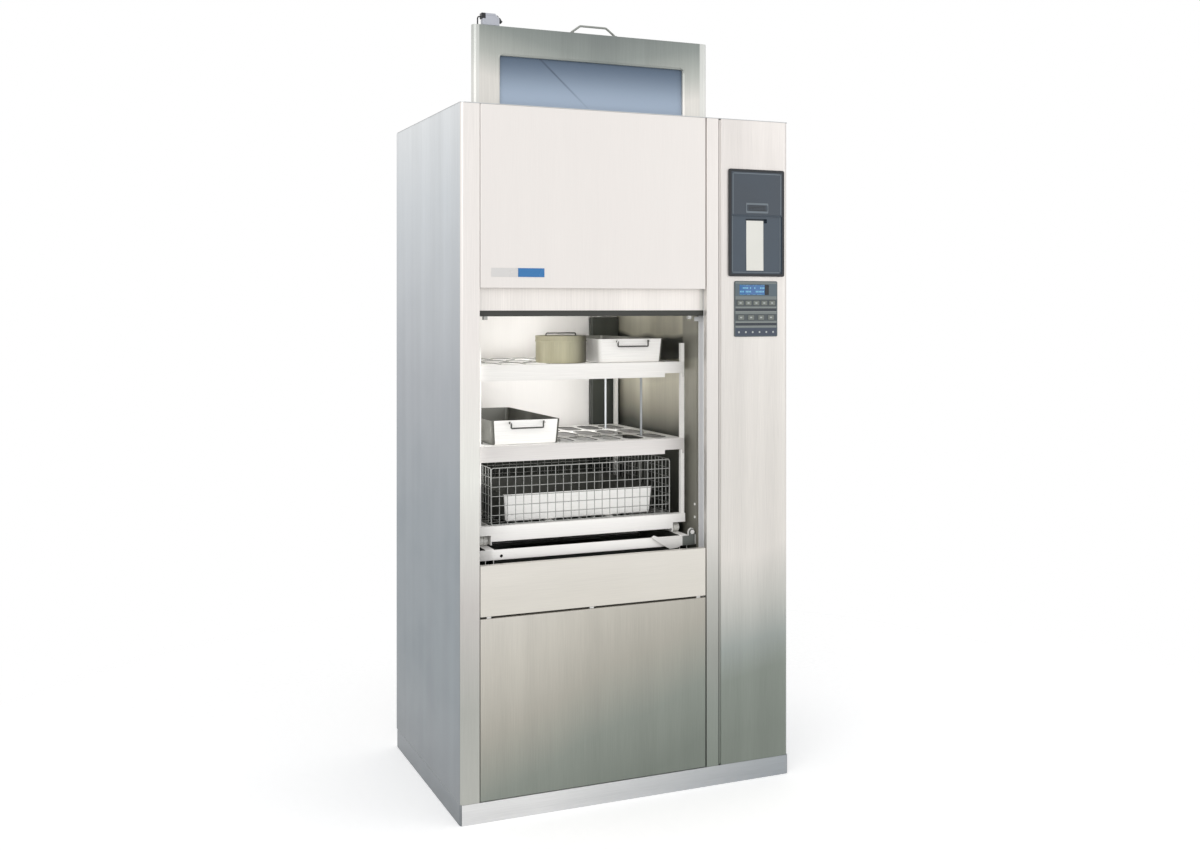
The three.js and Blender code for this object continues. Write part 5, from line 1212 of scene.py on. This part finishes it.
@dataclass
class Rack(Assembly):
    """The wheeled rack with its shelves, rollers and spray arms."""

    roller: float = 0.014
    roller_wide: float = 0.026

    def build(self) -> None:
        """Dresses the rack and makes its rollers."""
        palette, dresser = self.palette, self.dresser
        dresser.soft("rack_frame", "rack", palette.base, "bright_steel", 0.0)
        for node in ("middle_shelf", "upper_shelf"):
            shelf = dresser.soft(node, "rack", palette.rack, "bright_steel", 0.0)
            shelf.data.materials.append(palette.deck)
            top = corners("middle_tray" if node == "middle_shelf" else "upper_tray")[0].z
            shelf.data.materials.append(palette.shaded)
            shelf.data.materials.append(palette.tube)
            low, high = corners(node)
            for face in shelf.data.polygons:
                inside = all(low[axis] + 0.003 < face.center[axis] < high[axis] - 0.003 for axis in (0, 1))
                # deck tops take the brighter lit copy (painted highlight), and slot walls take the shaded steel
                # (painted shade)
                if face.normal.z > FACING and abs(face.center.z - top) < 0.002:
                    face.material_index = 1
                elif inside and face.center.z < top - 0.05:
                    face.material_index = 3
                elif inside and face.normal.z < 0.5:
                    face.material_index = 2
        for node, body in (("front_wheelset", "front_wheels"), ("rear_wheelset", "rear_wheels")):
            self.wheels(node, body)
        for node, body in (("spray_arm_bottom", "arm_bottom"), ("spray_arm_middle", "arm_middle"),
                           ("spray_arm_upper", "arm_upper")):
            dresser.soft(node, body, palette.bright, "bright_steel", 0.0012, 3)

    def wheels(self, node: str, body: str) -> None:
        """An axle with a grooved nylon roller on each end."""
        low, high = corners(node)
        y, z = (low.y + high.y) / 2, (low.z + high.z) / 2
        r, wide = self.roller, self.roller_wide
        ring = [(0.009, 0.0), (0.0095, 0.001), (r - 0.0015, 0.001), (r, 0.0025), (r, wide / 2 - 0.002),
                (r - 0.002, wide / 2), (r, wide / 2 + 0.002), (r, wide - 0.0005), (r - 0.0015, wide + 0.001),
                (0.0065, wide + 0.001), (0.005, wide + 0.0012)]
        left = Bench.spun("roller", (low.x, y, z), "X", ring, 28)
        right = Bench.spun("roller_r", (high.x - wide - 0.0012, y, z), "X", ring, 28)
        axle = Bench.spun("axle", (low.x + 0.012, y, z), "X", [(0.004, 0.0), (0.004, high.x - low.x - 0.024)], 16)
        self.dresser.piece(Bench.joined(f"{node}_rollers", [left, right, axle]), body, self.palette.nylon,
                           "roller", [node])


@dataclass
class Load(Assembly):
    """What stands on the rack: the wire basket, trays, handles and the round container."""

    wire: float = 0.0012
    rim_wire: float = 0.002
    columns: int = 23
    rows: int = 6

    def build(self) -> None:
        """Makes each load piece from the place of its frame node."""
        self.basket()
        self.tub()
        for name, handle, body in (("upper_tray", "upper_tray_handle", "upper_handle"),
                                   ("middle_tray", "middle_tray_handle", "middle_handle")):
            self.tray(name)
            self.handle(handle, body)
        self.drum()

    def panel(self, node: str, along: int, columns: int, rows: int) -> Piece:
        """One basket side: upright wires behind level ones, inside a thicker rim.

        Args:
            node: the frame node that it stands for.
            along: 0 where the side runs along X, 1 along Y.
            columns, rows: the counts of meshes.

        Returns:
            The piece.
        """
        low, high = corners(node)
        thin = 1 - along
        mid = (low[thin] + high[thin]) / 2
        out = self.wire * 0.75
        inset = self.rim_wire

        def at(u: float, z: float, off: float) -> Point:
            point = [0.0, 0.0, z]
            point[along] = u
            point[thin] = mid + off
            return tuple(point)
        u0, u1 = low[along] + inset, high[along] - inset
        z0, z1 = low.z + inset, high.z - inset
        rim = Bench.rod("rim", [at((u0 + u1) / 2, z0, 0), at(u1, z0, 0), at(u1, z1, 0), at(u0, z1, 0), at(u0, z0, 0),
                                at((u0 + u1) / 2 + 0.0001, z0, 0)], self.rim_wire * 0.75, 0.006, 8, 4)
        upright = Bench.rod("upright", [at(u0, z0, out), at(u0, z1, out)], self.wire, 0.0, 6, 1)
        level = Bench.rod("level", [at(u0, z0, -out), at(u1, z0, -out)], self.wire, 0.0, 6, 1)
        pieces = [rim]
        step = [0.0, 0.0, 0.0]
        for i in range(1, columns):
            step = [0.0, 0.0, 0.0]
            step[along] = (u1 - u0) * i / columns
            pieces.append(Bench.copied(upright, "upright", tuple(step)))
        for i in range(1, rows):
            pieces.append(Bench.copied(level, "level", (0.0, 0.0, (z1 - z0) * i / rows)))
        for spare in (upright, level):
            bpy.data.objects.remove(spare)
        return Bench.joined(f"{node}_wires", pieces)

    def basket(self) -> None:
        """The four sides and the floor grid."""
        palette = self.palette
        for node, along, columns in (("basket_front", 0, self.columns), ("basket_rear", 0, self.columns),
                                     ("basket_left", 1, 19), ("basket_right", 1, 19)):
            piece = self.panel(node, along, columns, self.rows)
            self.dresser.piece(piece, "rack", palette.wire, "bright_steel", [node])
        low, high = corners("basket_floor")
        z = (low.z + high.z) / 2
        rod = Bench.rod("bar", [(low.x, low.y + 0.002, z), (high.x, low.y + 0.002, z)], self.wire, 0.0, 6, 1)
        cross = Bench.rod("cross", [(low.x + 0.002, low.y, z), (low.x + 0.002, high.y, z)], self.wire, 0.0, 6, 1)
        pieces = []
        for i in range(13):
            pieces.append(Bench.copied(rod, "bar", (0.0, (high.y - low.y - 0.004) * i / 12, 0.0)))
        for i in range(15):
            pieces.append(Bench.copied(cross, "cross", ((high.x - low.x - 0.004) * i / 14, 0.0, 0.0)))
        for spare in (rod, cross):
            bpy.data.objects.remove(spare)
        self.dresser.piece(Bench.joined("basket_floor_wires", pieces), "rack", palette.wire, "bright_steel",
                           ["basket_floor"])

    def pan(self, name: str, low: Vector, high: Vector, taper: float, corner: float, wall: float, rim: float
            ) -> Piece:
        """An open drawn pan with sloping walls, rounded corners and a turned rim.

        Args:
            name: the piece's name.
            low, high: the corners of its box.
            taper: how much each wall draws in at the floor.
            corner: the radius of its upright corners.
            wall: the sheet's thickness.
            rim: the width of the turned rim.

        Returns:
            The piece.
        """
        body = Bench.block(name, (low.x + rim, low.y + rim, low.z), (high.x - rim, high.y - rim, high.z))
        middle = (low + high) / 2
        wide, deep = high.x - low.x - 2 * rim, high.y - low.y - 2 * rim
        with Bench.editing(body):
            Bench.pick(body, "faces", lambda face: face.normal.z < -FACING)
            shrink = ((wide - 2 * taper) / wide, (deep - 2 * taper) / deep, 1)
            bpy.ops.transform.resize(value=shrink, center_override=(middle.x, middle.y, low.z))
            Bench.pick(body, "edges", lambda edge: abs((edge.verts[1].co - edge.verts[0].co).z) > 0.03)
            bpy.ops.mesh.bevel(offset=corner, segments=6, affect="EDGES")
            Bench.pick(body, "edges", lambda edge: all(vert.co.z < low.z + 0.0005 for vert in edge.verts))
            bpy.ops.mesh.bevel(offset=0.004, segments=3, affect="EDGES")
            Bench.pick(body, "faces", lambda face: face.normal.z > FACING)
            bpy.ops.mesh.inset(thickness=rim, use_outset=True)
            Bench.pick(body, "faces", lambda face: face.normal.z > FACING and face.calc_area() > 0.5 * wide * deep)
            bpy.ops.mesh.delete(type="FACE")
        Bench.modified(body, "SOLIDIFY", thickness=wall, offset=-1.0)
        with Bench.editing(body):
            bpy.ops.mesh.select_all(action="SELECT")
            bpy.ops.mesh.normals_make_consistent(inside=False)
        return body

    def tub(self) -> None:
        """The plain tub inside the basket."""
        low, high = corners("inner_tray")
        piece = self.pan("inner_tub", low, high, 0.006, 0.012, 0.0016, 0.0)
        self.dresser.piece(piece, "rack", self.palette.tray, "tray_steel", ["inner_tray"])
        front = low.y + 0.01
        Dresser.refinish(piece, self.palette.shaded,
                   lambda face: face.center.y > front and abs(face.normal.z) < FACING)

    def tray(self, node: str) -> None:
        """One open tray, drawn from sheet, with the ears for its handle."""
        low, high = corners(node)
        low = low.copy()
        low.y += 0.010
        piece = self.pan(f"{node}_sheet", low, high, 0.005, 0.013, 0.0012, 0.005)
        ear_z = high.z - 0.007
        x = (low.x + high.x) / 2
        ears = [Bench.spun("ear", (x + side * 0.0525 - 0.0011, low.y - 0.006, ear_z), "X",
                           [(0.0038, 0.0), (0.004, 0.0004), (0.004, 0.0018), (0.0038, 0.0022)], 16)
                for side in (-1, 1)]
        tabs = [Bench.block("tab", (x + side * 0.0525 - 0.0011, low.y - 0.006, ear_z - 0.0035),
                            (x + side * 0.0525 + 0.0011, low.y + 0.004, ear_z + 0.0035), 0.0003) for side in (-1, 1)]
        piece = Bench.joined(f"{node}_sheet", [piece, *ears, *tabs])
        self.dresser.piece(piece, "rack", self.palette.tray, "tray_steel", [node])
        middle = (low + high) / 2
        sides = 0.3 if node.startswith("middle") else 2.0

        def darker(face: Face) -> bool:
            inward = (middle - face.center).dot(face.normal) > 0 and abs(face.normal.z) < FACING
            rim = face.normal.z > 0.7 and face.center.z > high.z - 0.004
            return inward or rim or face.normal.x > 0.25 or face.normal.x < -sides
        Dresser.refinish(piece, self.palette.shaded, darker)

    def handle(self, node: str, body: str) -> None:
        """A drop handle of bent wire."""
        low, high = corners(node)
        y = (low.y + high.y) / 2
        r = 0.0024
        x0, x1 = low.x + r + 0.003, high.x - r - 0.003
        z0, z1 = low.z + r, high.z - r
        line = [(low.x, y, z1), (x0, y, z1), (x0, y, z0), (x1, y, z0), (x1, y, z1), (high.x, y, z1)]
        rod = Bench.rod(f"{node}_wire", line, r, 0.0030, 12, 5)
        # the wire's dark tone is painted shade
        self.dresser.piece(rod, body, self.palette.gloom, "bright_steel", [node])

    def drum(self) -> None:
        """The round lidded container with beads, and the wire handle on its lid."""
        low, high = corners("round_container")
        x, y = (low.x + high.x) / 2, (low.y + high.y) / 2
        r = (high.x - low.x) / 2
        h = 0.082
        ring = [(r - 0.005, 0.0), (r - 0.003, 0.0006), (r - 0.002, 0.003), (r - 0.002, h - 0.020),
                (r - 0.001, h - 0.0185), (r, h - 0.0165), (r, h - 0.0145), (r - 0.0008, h - 0.0135),
                (r - 0.0008, h - 0.005), (r, h - 0.004), (r, h - 0.002), (r - 0.001, h - 0.0008),
                (r - 0.004, h), (r - 0.010, h - 0.0002), (r - 0.014, h - 0.0022), (0.01, h - 0.0018)]
        body = Bench.spun("round_drum", (x, y, low.z), "Z", ring, 64)
        top = low.z + h
        rod = Bench.rod("drum_handle", [(x - 0.048, y, top - 0.003), (x - 0.048, y, high.z - 0.0021),
                                        (x + 0.048, y, high.z - 0.0021), (x + 0.048, y, top - 0.003)],
                        0.002, 0.0045, 12, 5)
        # the drum darkens towards its right side: painted shade on the round side
        turn = (Tint("X", x - r * 0.2, x + r * 0.6, srgb(112, 109, 91)),
                Tint("X", x + r * 0.5, x + r, srgb(72, 71, 62)))
        metal = Brushed("drum_metal", ((1.2, srgb(180, 175, 146)), (1.4, srgb(192, 187, 159))), metal=0.15,
                        rough=0.34, streak=0.12, band=0.1, tints=turn).build()
        self.dresser.piece(body, "rack", metal, "drum_metal", ["round_container"])
        self.dresser.piece(rod, "rack", self.palette.gloom, "bright_steel")


@dataclass
class Controls(Assembly):
    """The printer and the keypad on the control column."""

    printer_rim: float = 0.0078
    printer_step: float = 0.0040
    bead: tuple[float, float] = (0.0035, 0.0024)
    lcd_left: float = 0.017
    lcd_width: float = 0.102
    lcd_low: float = 0.127
    lcd_height: float = 0.031
    block: float = 0.014
    edge: float = 0.003
    rows: tuple[float, float] = (0.092, 0.048)
    row_height: float = 0.021
    bands: tuple[float, float] = (0.0775, 0.0335)
    band_height: float = 0.009
    foot: float = 0.027
    marks: int = 6

    def build(self) -> None:
        """Dresses the printer and keypad and makes the screen, keys, marks and latch."""
        palette, dresser = self.palette, self.dresser
        low, high = corners("printer_bezel")
        rim = self.printer_rim
        face_ink = Ink(low.x + rim, high.x - rim, low.z + rim, high.z - rim, srgb(68, 80, 92))
        body = Moulded("printer_body", srgb(24, 27, 32), rough=0.4, prints=(face_ink,)).build()
        dresser.soft("printer_bezel", "cabinet", body, "bezel_plastic", 0.0005)
        cover = dresser.soft("printer_cover", "printer_lid", palette.cover, "printer_plastic", 0.0003)
        front = corners("printer_cover")[0].y
        Dresser.refinish(cover, palette.trim, lambda face: face.center.y < front + 0.0003 and face.normal.y < -FACING)
        self.beads()
        dresser.carried(palette.paper, "paper_strip")
        dresser.soft("keypad", "cabinet", self.film(), "pad_film", 0.0003)
        for name in [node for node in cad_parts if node.startswith("key_")]:
            self.key(name)
        self.screen()
        self.lamps()
        self.latch()

    def beads(self) -> None:
        """Lighter raised beads just inside the printer's black rim, on the cover and under it."""
        palette = self.palette
        gap, wide = self.bead
        low, high = corners("printer_cover")
        ahead = low.y + 0.0009
        upright = [Bench.block("bead", (x, ahead - 0.0004, low.z + 0.001), (x + wide, ahead + 0.0003, high.z - gap),
                               0.0002) for x in (low.x + gap, high.x - gap - wide)]
        over = Bench.block("bead", (low.x + gap, ahead - 0.0004, high.z - gap - wide),
                           (high.x - gap, ahead + 0.0003, high.z - gap), 0.0002)
        self.dresser.piece(Bench.joined("cover_beads", [*upright, over]), "printer_lid", palette.trim,
                           "printer_plastic")
        base, _ = corners("printer_bezel")
        rest = base.y + self.printer_step
        foot = base.z + self.printer_rim + gap
        down = [Bench.block("bead", (x, rest - 0.0007, foot), (x + wide, rest + 0.0003, low.z - 0.004), 0.0002)
                for x in (low.x + gap, high.x - gap - wide)]
        under = Bench.block("bead", (low.x + gap, rest - 0.0007, foot), (high.x - gap, rest + 0.0003, foot + wide),
                            0.0002)
        self.dresser.piece(Bench.joined("bezel_beads", [*down, under]), "cabinet", palette.trim, "bezel_plastic")

    def film(self) -> Material:
        """The keypad's printed film: a darker rim, a pale field, dark rows, bands and foot."""
        low, high = corners("keypad")
        x0, x1 = low.x + self.edge, high.x - self.edge
        inks = [Ink(x0, x1, low.z + self.edge, high.z - self.edge, srgb(124, 131, 130)),
                Ink(x0, x1, low.z + self.lcd_low - 0.004, low.z + self.lcd_low + self.lcd_height + 0.003,
                    srgb(92, 106, 114))]
        for row in self.rows:
            inks.append(Ink(x0, x1, low.z + row, low.z + row + self.row_height, srgb(78, 85, 88)))
        for band in self.bands:
            inks.append(Ink(x0, x1, low.z + band - 0.0016, low.z + band + self.band_height + 0.0016,
                            srgb(152, 158, 154)))
            inks.append(Ink(x0, x1, low.z + band, low.z + band + self.band_height, srgb(50, 56, 64)))
        inks.append(Ink(x0, x1, low.z + self.edge, low.z + self.foot, srgb(66, 75, 90)))
        return Moulded("keypad_film", srgb(84, 94, 98), rough=0.42, worn=0.05, prints=tuple(inks)).build()

    def key(self, name: str) -> None:
        """A key cap with a soft edge, a dished top and a small pale mark."""
        low, high = corners(name)
        cap = Bench.block(f"{name}_cap", tuple(low), tuple(high))
        Bench.upright_corners(cap, 1, 0.0025, 4)
        with Bench.editing(cap):
            Bench.pick(cap, "faces", lambda face: face.normal.y < -FACING)
            bpy.ops.mesh.inset(thickness=0.0008)
            bpy.ops.mesh.inset(thickness=0.0012, depth=-0.0003)
        self.dresser.piece(cap, f"{name}_cap", self.palette.key, "key_cap", [name])
        x, z = (low.x + high.x) / 2, (low.z + high.z) / 2
        mark = Bench.block(f"{name}_mark", (x - 0.0034, low.y + 0.0001, z - 0.0018),
                           (x + 0.0034, low.y + 0.0005, z + 0.0018), 0.0002)
        self.dresser.piece(mark, f"{name}_cap", self.palette.mark, "key_cap")

    def screen(self) -> None:
        """The lit window with a dark block at its right."""
        low, _ = corners("keypad")
        x0, z0 = low.x + self.lcd_left, low.z + self.lcd_low
        x1, z1 = x0 + self.lcd_width, z0 + self.lcd_height
        y = low.y + 0.0019
        split = x1 - self.block
        glow = Screen("screen_glow", srgb(18, 96, 156), srgb(112, 184, 214), (x0 + 0.006, z0 + 0.0045),
                      (0.0050, 0.0110)).build()
        lit = Bench.block("screen_window", (x0 + 0.0004, y - 0.0010, z0 + 0.0004), (split, y, z1 - 0.0004), 0.0003)
        self.dresser.piece(lit, "cabinet", glow, "pad_film")
        dark = Bench.block("screen_block", (split + 0.0002, y - 0.0012, z0 + 0.0004),
                           (x1 - 0.0004, y, z1 - 0.0004), 0.0004)
        self.dresser.piece(dark, "cabinet", self.palette.black, "pad_film")

    def lamps(self) -> None:
        """A row of small pale lamp lenses along the keypad's foot."""
        low, high = corners("keypad")
        lenses = []
        for i in range(self.marks):
            x = low.x + 0.015 + i * (high.x - low.x - 0.03) / (self.marks - 1)
            lenses.append(Bench.spun("lamp", (x, low.y - 0.0006, low.z + 0.014), "Y",
                                     [(0.0012, 0.0), (0.0028, 0.0002), (0.0032, 0.0007)], 12))
        self.dresser.piece(Bench.joined("film_lamps", lenses), "cabinet", self.palette.mark, "pad_film")

    def latch(self) -> None:
        """Ribs inside the printer cover's latch plate."""
        low, high = corners("printer_cover")
        x = (low.x + high.x) / 2
        z0 = low.z + 0.0132
        ribs = [Bench.block("rib", (x - 0.030, low.y + 0.0006, z0 + i * 0.0042), (x + 0.030, low.y + 0.0016,
                            z0 + i * 0.0042 + 0.002), 0.0003) for i in range(4)]
        self.dresser.piece(Bench.joined("latch_ribs", ribs), "printer_lid", self.palette.black,
                           "printer_plastic")


@dataclass
class Plant(Assembly):
    """The inner frame and machinery that the panels hide."""

    def build(self) -> None:
        """Dresses each hidden piece."""
        palette, dresser = self.palette, self.dresser
        dresser.carried(palette.zinc, "inner_frame")
        dresser.soft("dryer_blower", "cabinet", palette.zinc, "galvanised", 0.0)
        dresser.soft("wash_pump", "cabinet", palette.enamel, "pump_paint", 0.0)
        dresser.soft("heater", "cabinet", palette.burnt, "heater_tube", 0.0)
        dresser.soft("control_box", "cabinet", palette.grey_paint, "grey_paint", 0.0006)
        dresser.soft("door_lift_cylinder", "cabinet", palette.tube, "lift_tube", 0.0)


@dataclass
class Studio:
    """Pale floor, soft lamps and the camera."""

    eye: Point = (-1.5633, -3.77785, 1.438)
    yaw: float = 23.06
    lens: float = 38.64
    shift: float = -0.0988
    reach: float = 6.0
    floor_glow: float = 0.32
    lamps: tuple[tuple[str, Point, Point, float, float], ...] = (
        ("key", (-2.6, -3.4, 3.2), (0.0, 0.0, 1.0), 2.6, 40.0),
        ("fill", (2.8, -2.6, 2.0), (0.0, 0.0, 1.1), 2.2, 14.0),
        ("doorway", (-0.113, -0.318, 1.02), (-0.113, 0.3, 1.06), 0.6, 0.24),
        ("rear", (-0.05, 0.02, 1.21), (-0.05, 0.4, 1.21), 0.40, 1.02),
        ("side", (-0.460, -0.08, 1.12), (0.3, -0.04, 1.12), 0.4, 1.0))

    def build(self) -> None:
        """Makes the floor, the world, the lamps and the camera."""
        self.floor()
        self.world()
        for lamp in self.lamps:
            self.lamp(*lamp)
        self.camera()

    def floor(self) -> None:
        """A round pale floor that thins out into the background."""
        Bench.clear()
        bpy.ops.mesh.primitive_circle_add(vertices=96, radius=self.reach, fill_type="NGON")
        disc = bpy.context.object
        disc.name = "studio_floor"
        graph = Graph("floor_paint")
        speck = graph.noise((60.0, 60.0, 60.0), 2.0)
        colour = graph.mixed(graph.ranged(speck, 0.3, 0.7, 0.0, 1.0), srgb(246, 246, 246), srgb(252, 252, 252))
        away = graph.node("ShaderNodeVectorMath", operation="LENGTH")
        graph.feed(away.inputs[0], graph.place)
        there = graph.ranged(away.outputs["Value"], 1.0, 2.6, 1.0, 0.0)
        path = graph.node("ShaderNodeLightPath")
        seen = path.outputs["Is Camera Ray"]
        for kind in ("Is Glossy Ray", "Is Transmission Ray"):
            seen = graph.maths("MAXIMUM", seen, path.outputs[kind])
        glow = graph.maths("MULTIPLY", seen, self.floor_glow)
        graph.feed(graph.shader.inputs["Emission Color"], (1.0, 1.0, 1.0))
        graph.end(Base_Color=colour, Roughness=0.9, Alpha=there, Specular_IOR_Level=0.1, Emission_Strength=glow)
        disc.data.materials.append(graph.material)

    def world(self) -> None:
        """White as seen by the camera and in reflections, softer as light."""
        world = bpy.data.worlds.new("studio")
        bpy.context.scene.world = world
        world.use_nodes = True
        tree = world.node_tree
        back = tree.nodes["Background"]
        back.inputs["Color"].default_value = (1, 1, 1, 1)
        path = tree.nodes.new("ShaderNodeLightPath")
        seen = tree.nodes.new("ShaderNodeMath")
        seen.operation = "MAXIMUM"
        tree.links.new(path.outputs["Is Camera Ray"], seen.inputs[0])
        tree.links.new(path.outputs["Is Transmission Ray"], seen.inputs[1])
        both = tree.nodes.new("ShaderNodeMath")
        both.operation = "MAXIMUM"
        tree.links.new(seen.outputs[0], both.inputs[0])
        tree.links.new(path.outputs["Is Glossy Ray"], both.inputs[1])
        strength = tree.nodes.new("ShaderNodeMapRange")
        strength.inputs["To Min"].default_value = 0.7
        strength.inputs["To Max"].default_value = 1.0
        tree.links.new(both.outputs[0], strength.inputs["Value"])
        tree.links.new(strength.outputs["Result"], back.inputs["Strength"])

    @staticmethod
    def lamp(name: str, place: Point, target: Point, size: float, power: float) -> None:
        """A square soft lamp that faces a target.

        Args:
            name: the lamp's name.
            place: where it stands.
            target: what it faces.
            size: its side.
            power: its power in watts.
        """
        data = bpy.data.lights.new(name, "AREA")
        data.size = size
        data.energy = power
        lamp = bpy.data.objects.new(name, data)
        lamp.location = place
        lamp.visible_camera = False
        lamp.rotation_euler = (Vector(target) - Vector(place)).to_track_quat("-Z", "Y").to_euler()
        bpy.context.scene.collection.objects.link(lamp)

    def camera(self) -> None:
        """The camera at the photograph's place, level, with its small upward frame shift."""
        data = bpy.data.cameras.new("camera")
        data.lens = self.lens
        data.sensor_width = 36.0
        data.shift_y = self.shift
        data.clip_end = 100.0
        camera = bpy.data.objects.new("camera", data)
        camera.location = self.eye
        camera.rotation_euler = (QUARTER, 0.0, -math.radians(self.yaw))
        bpy.context.scene.collection.objects.link(camera)
        bpy.context.scene.camera = camera
        bpy.context.scene.view_settings.view_transform = "Standard"


def main() -> None:
    """Builds the studio and each sub-assembly."""
    logging.basicConfig(level=logging.INFO, format="%(message)s")
    Studio().build()
    dresser = Dresser(Palette())
    for maker in (Cabinet, Door, Chamber, Rack, Load, Controls, Plant):
        maker(dresser).build()
        LOG.info("built %s", maker.__name__)
    LOG.info("%d pieces dressed", dresser.count)


if __name__ == "__main__":
    main()
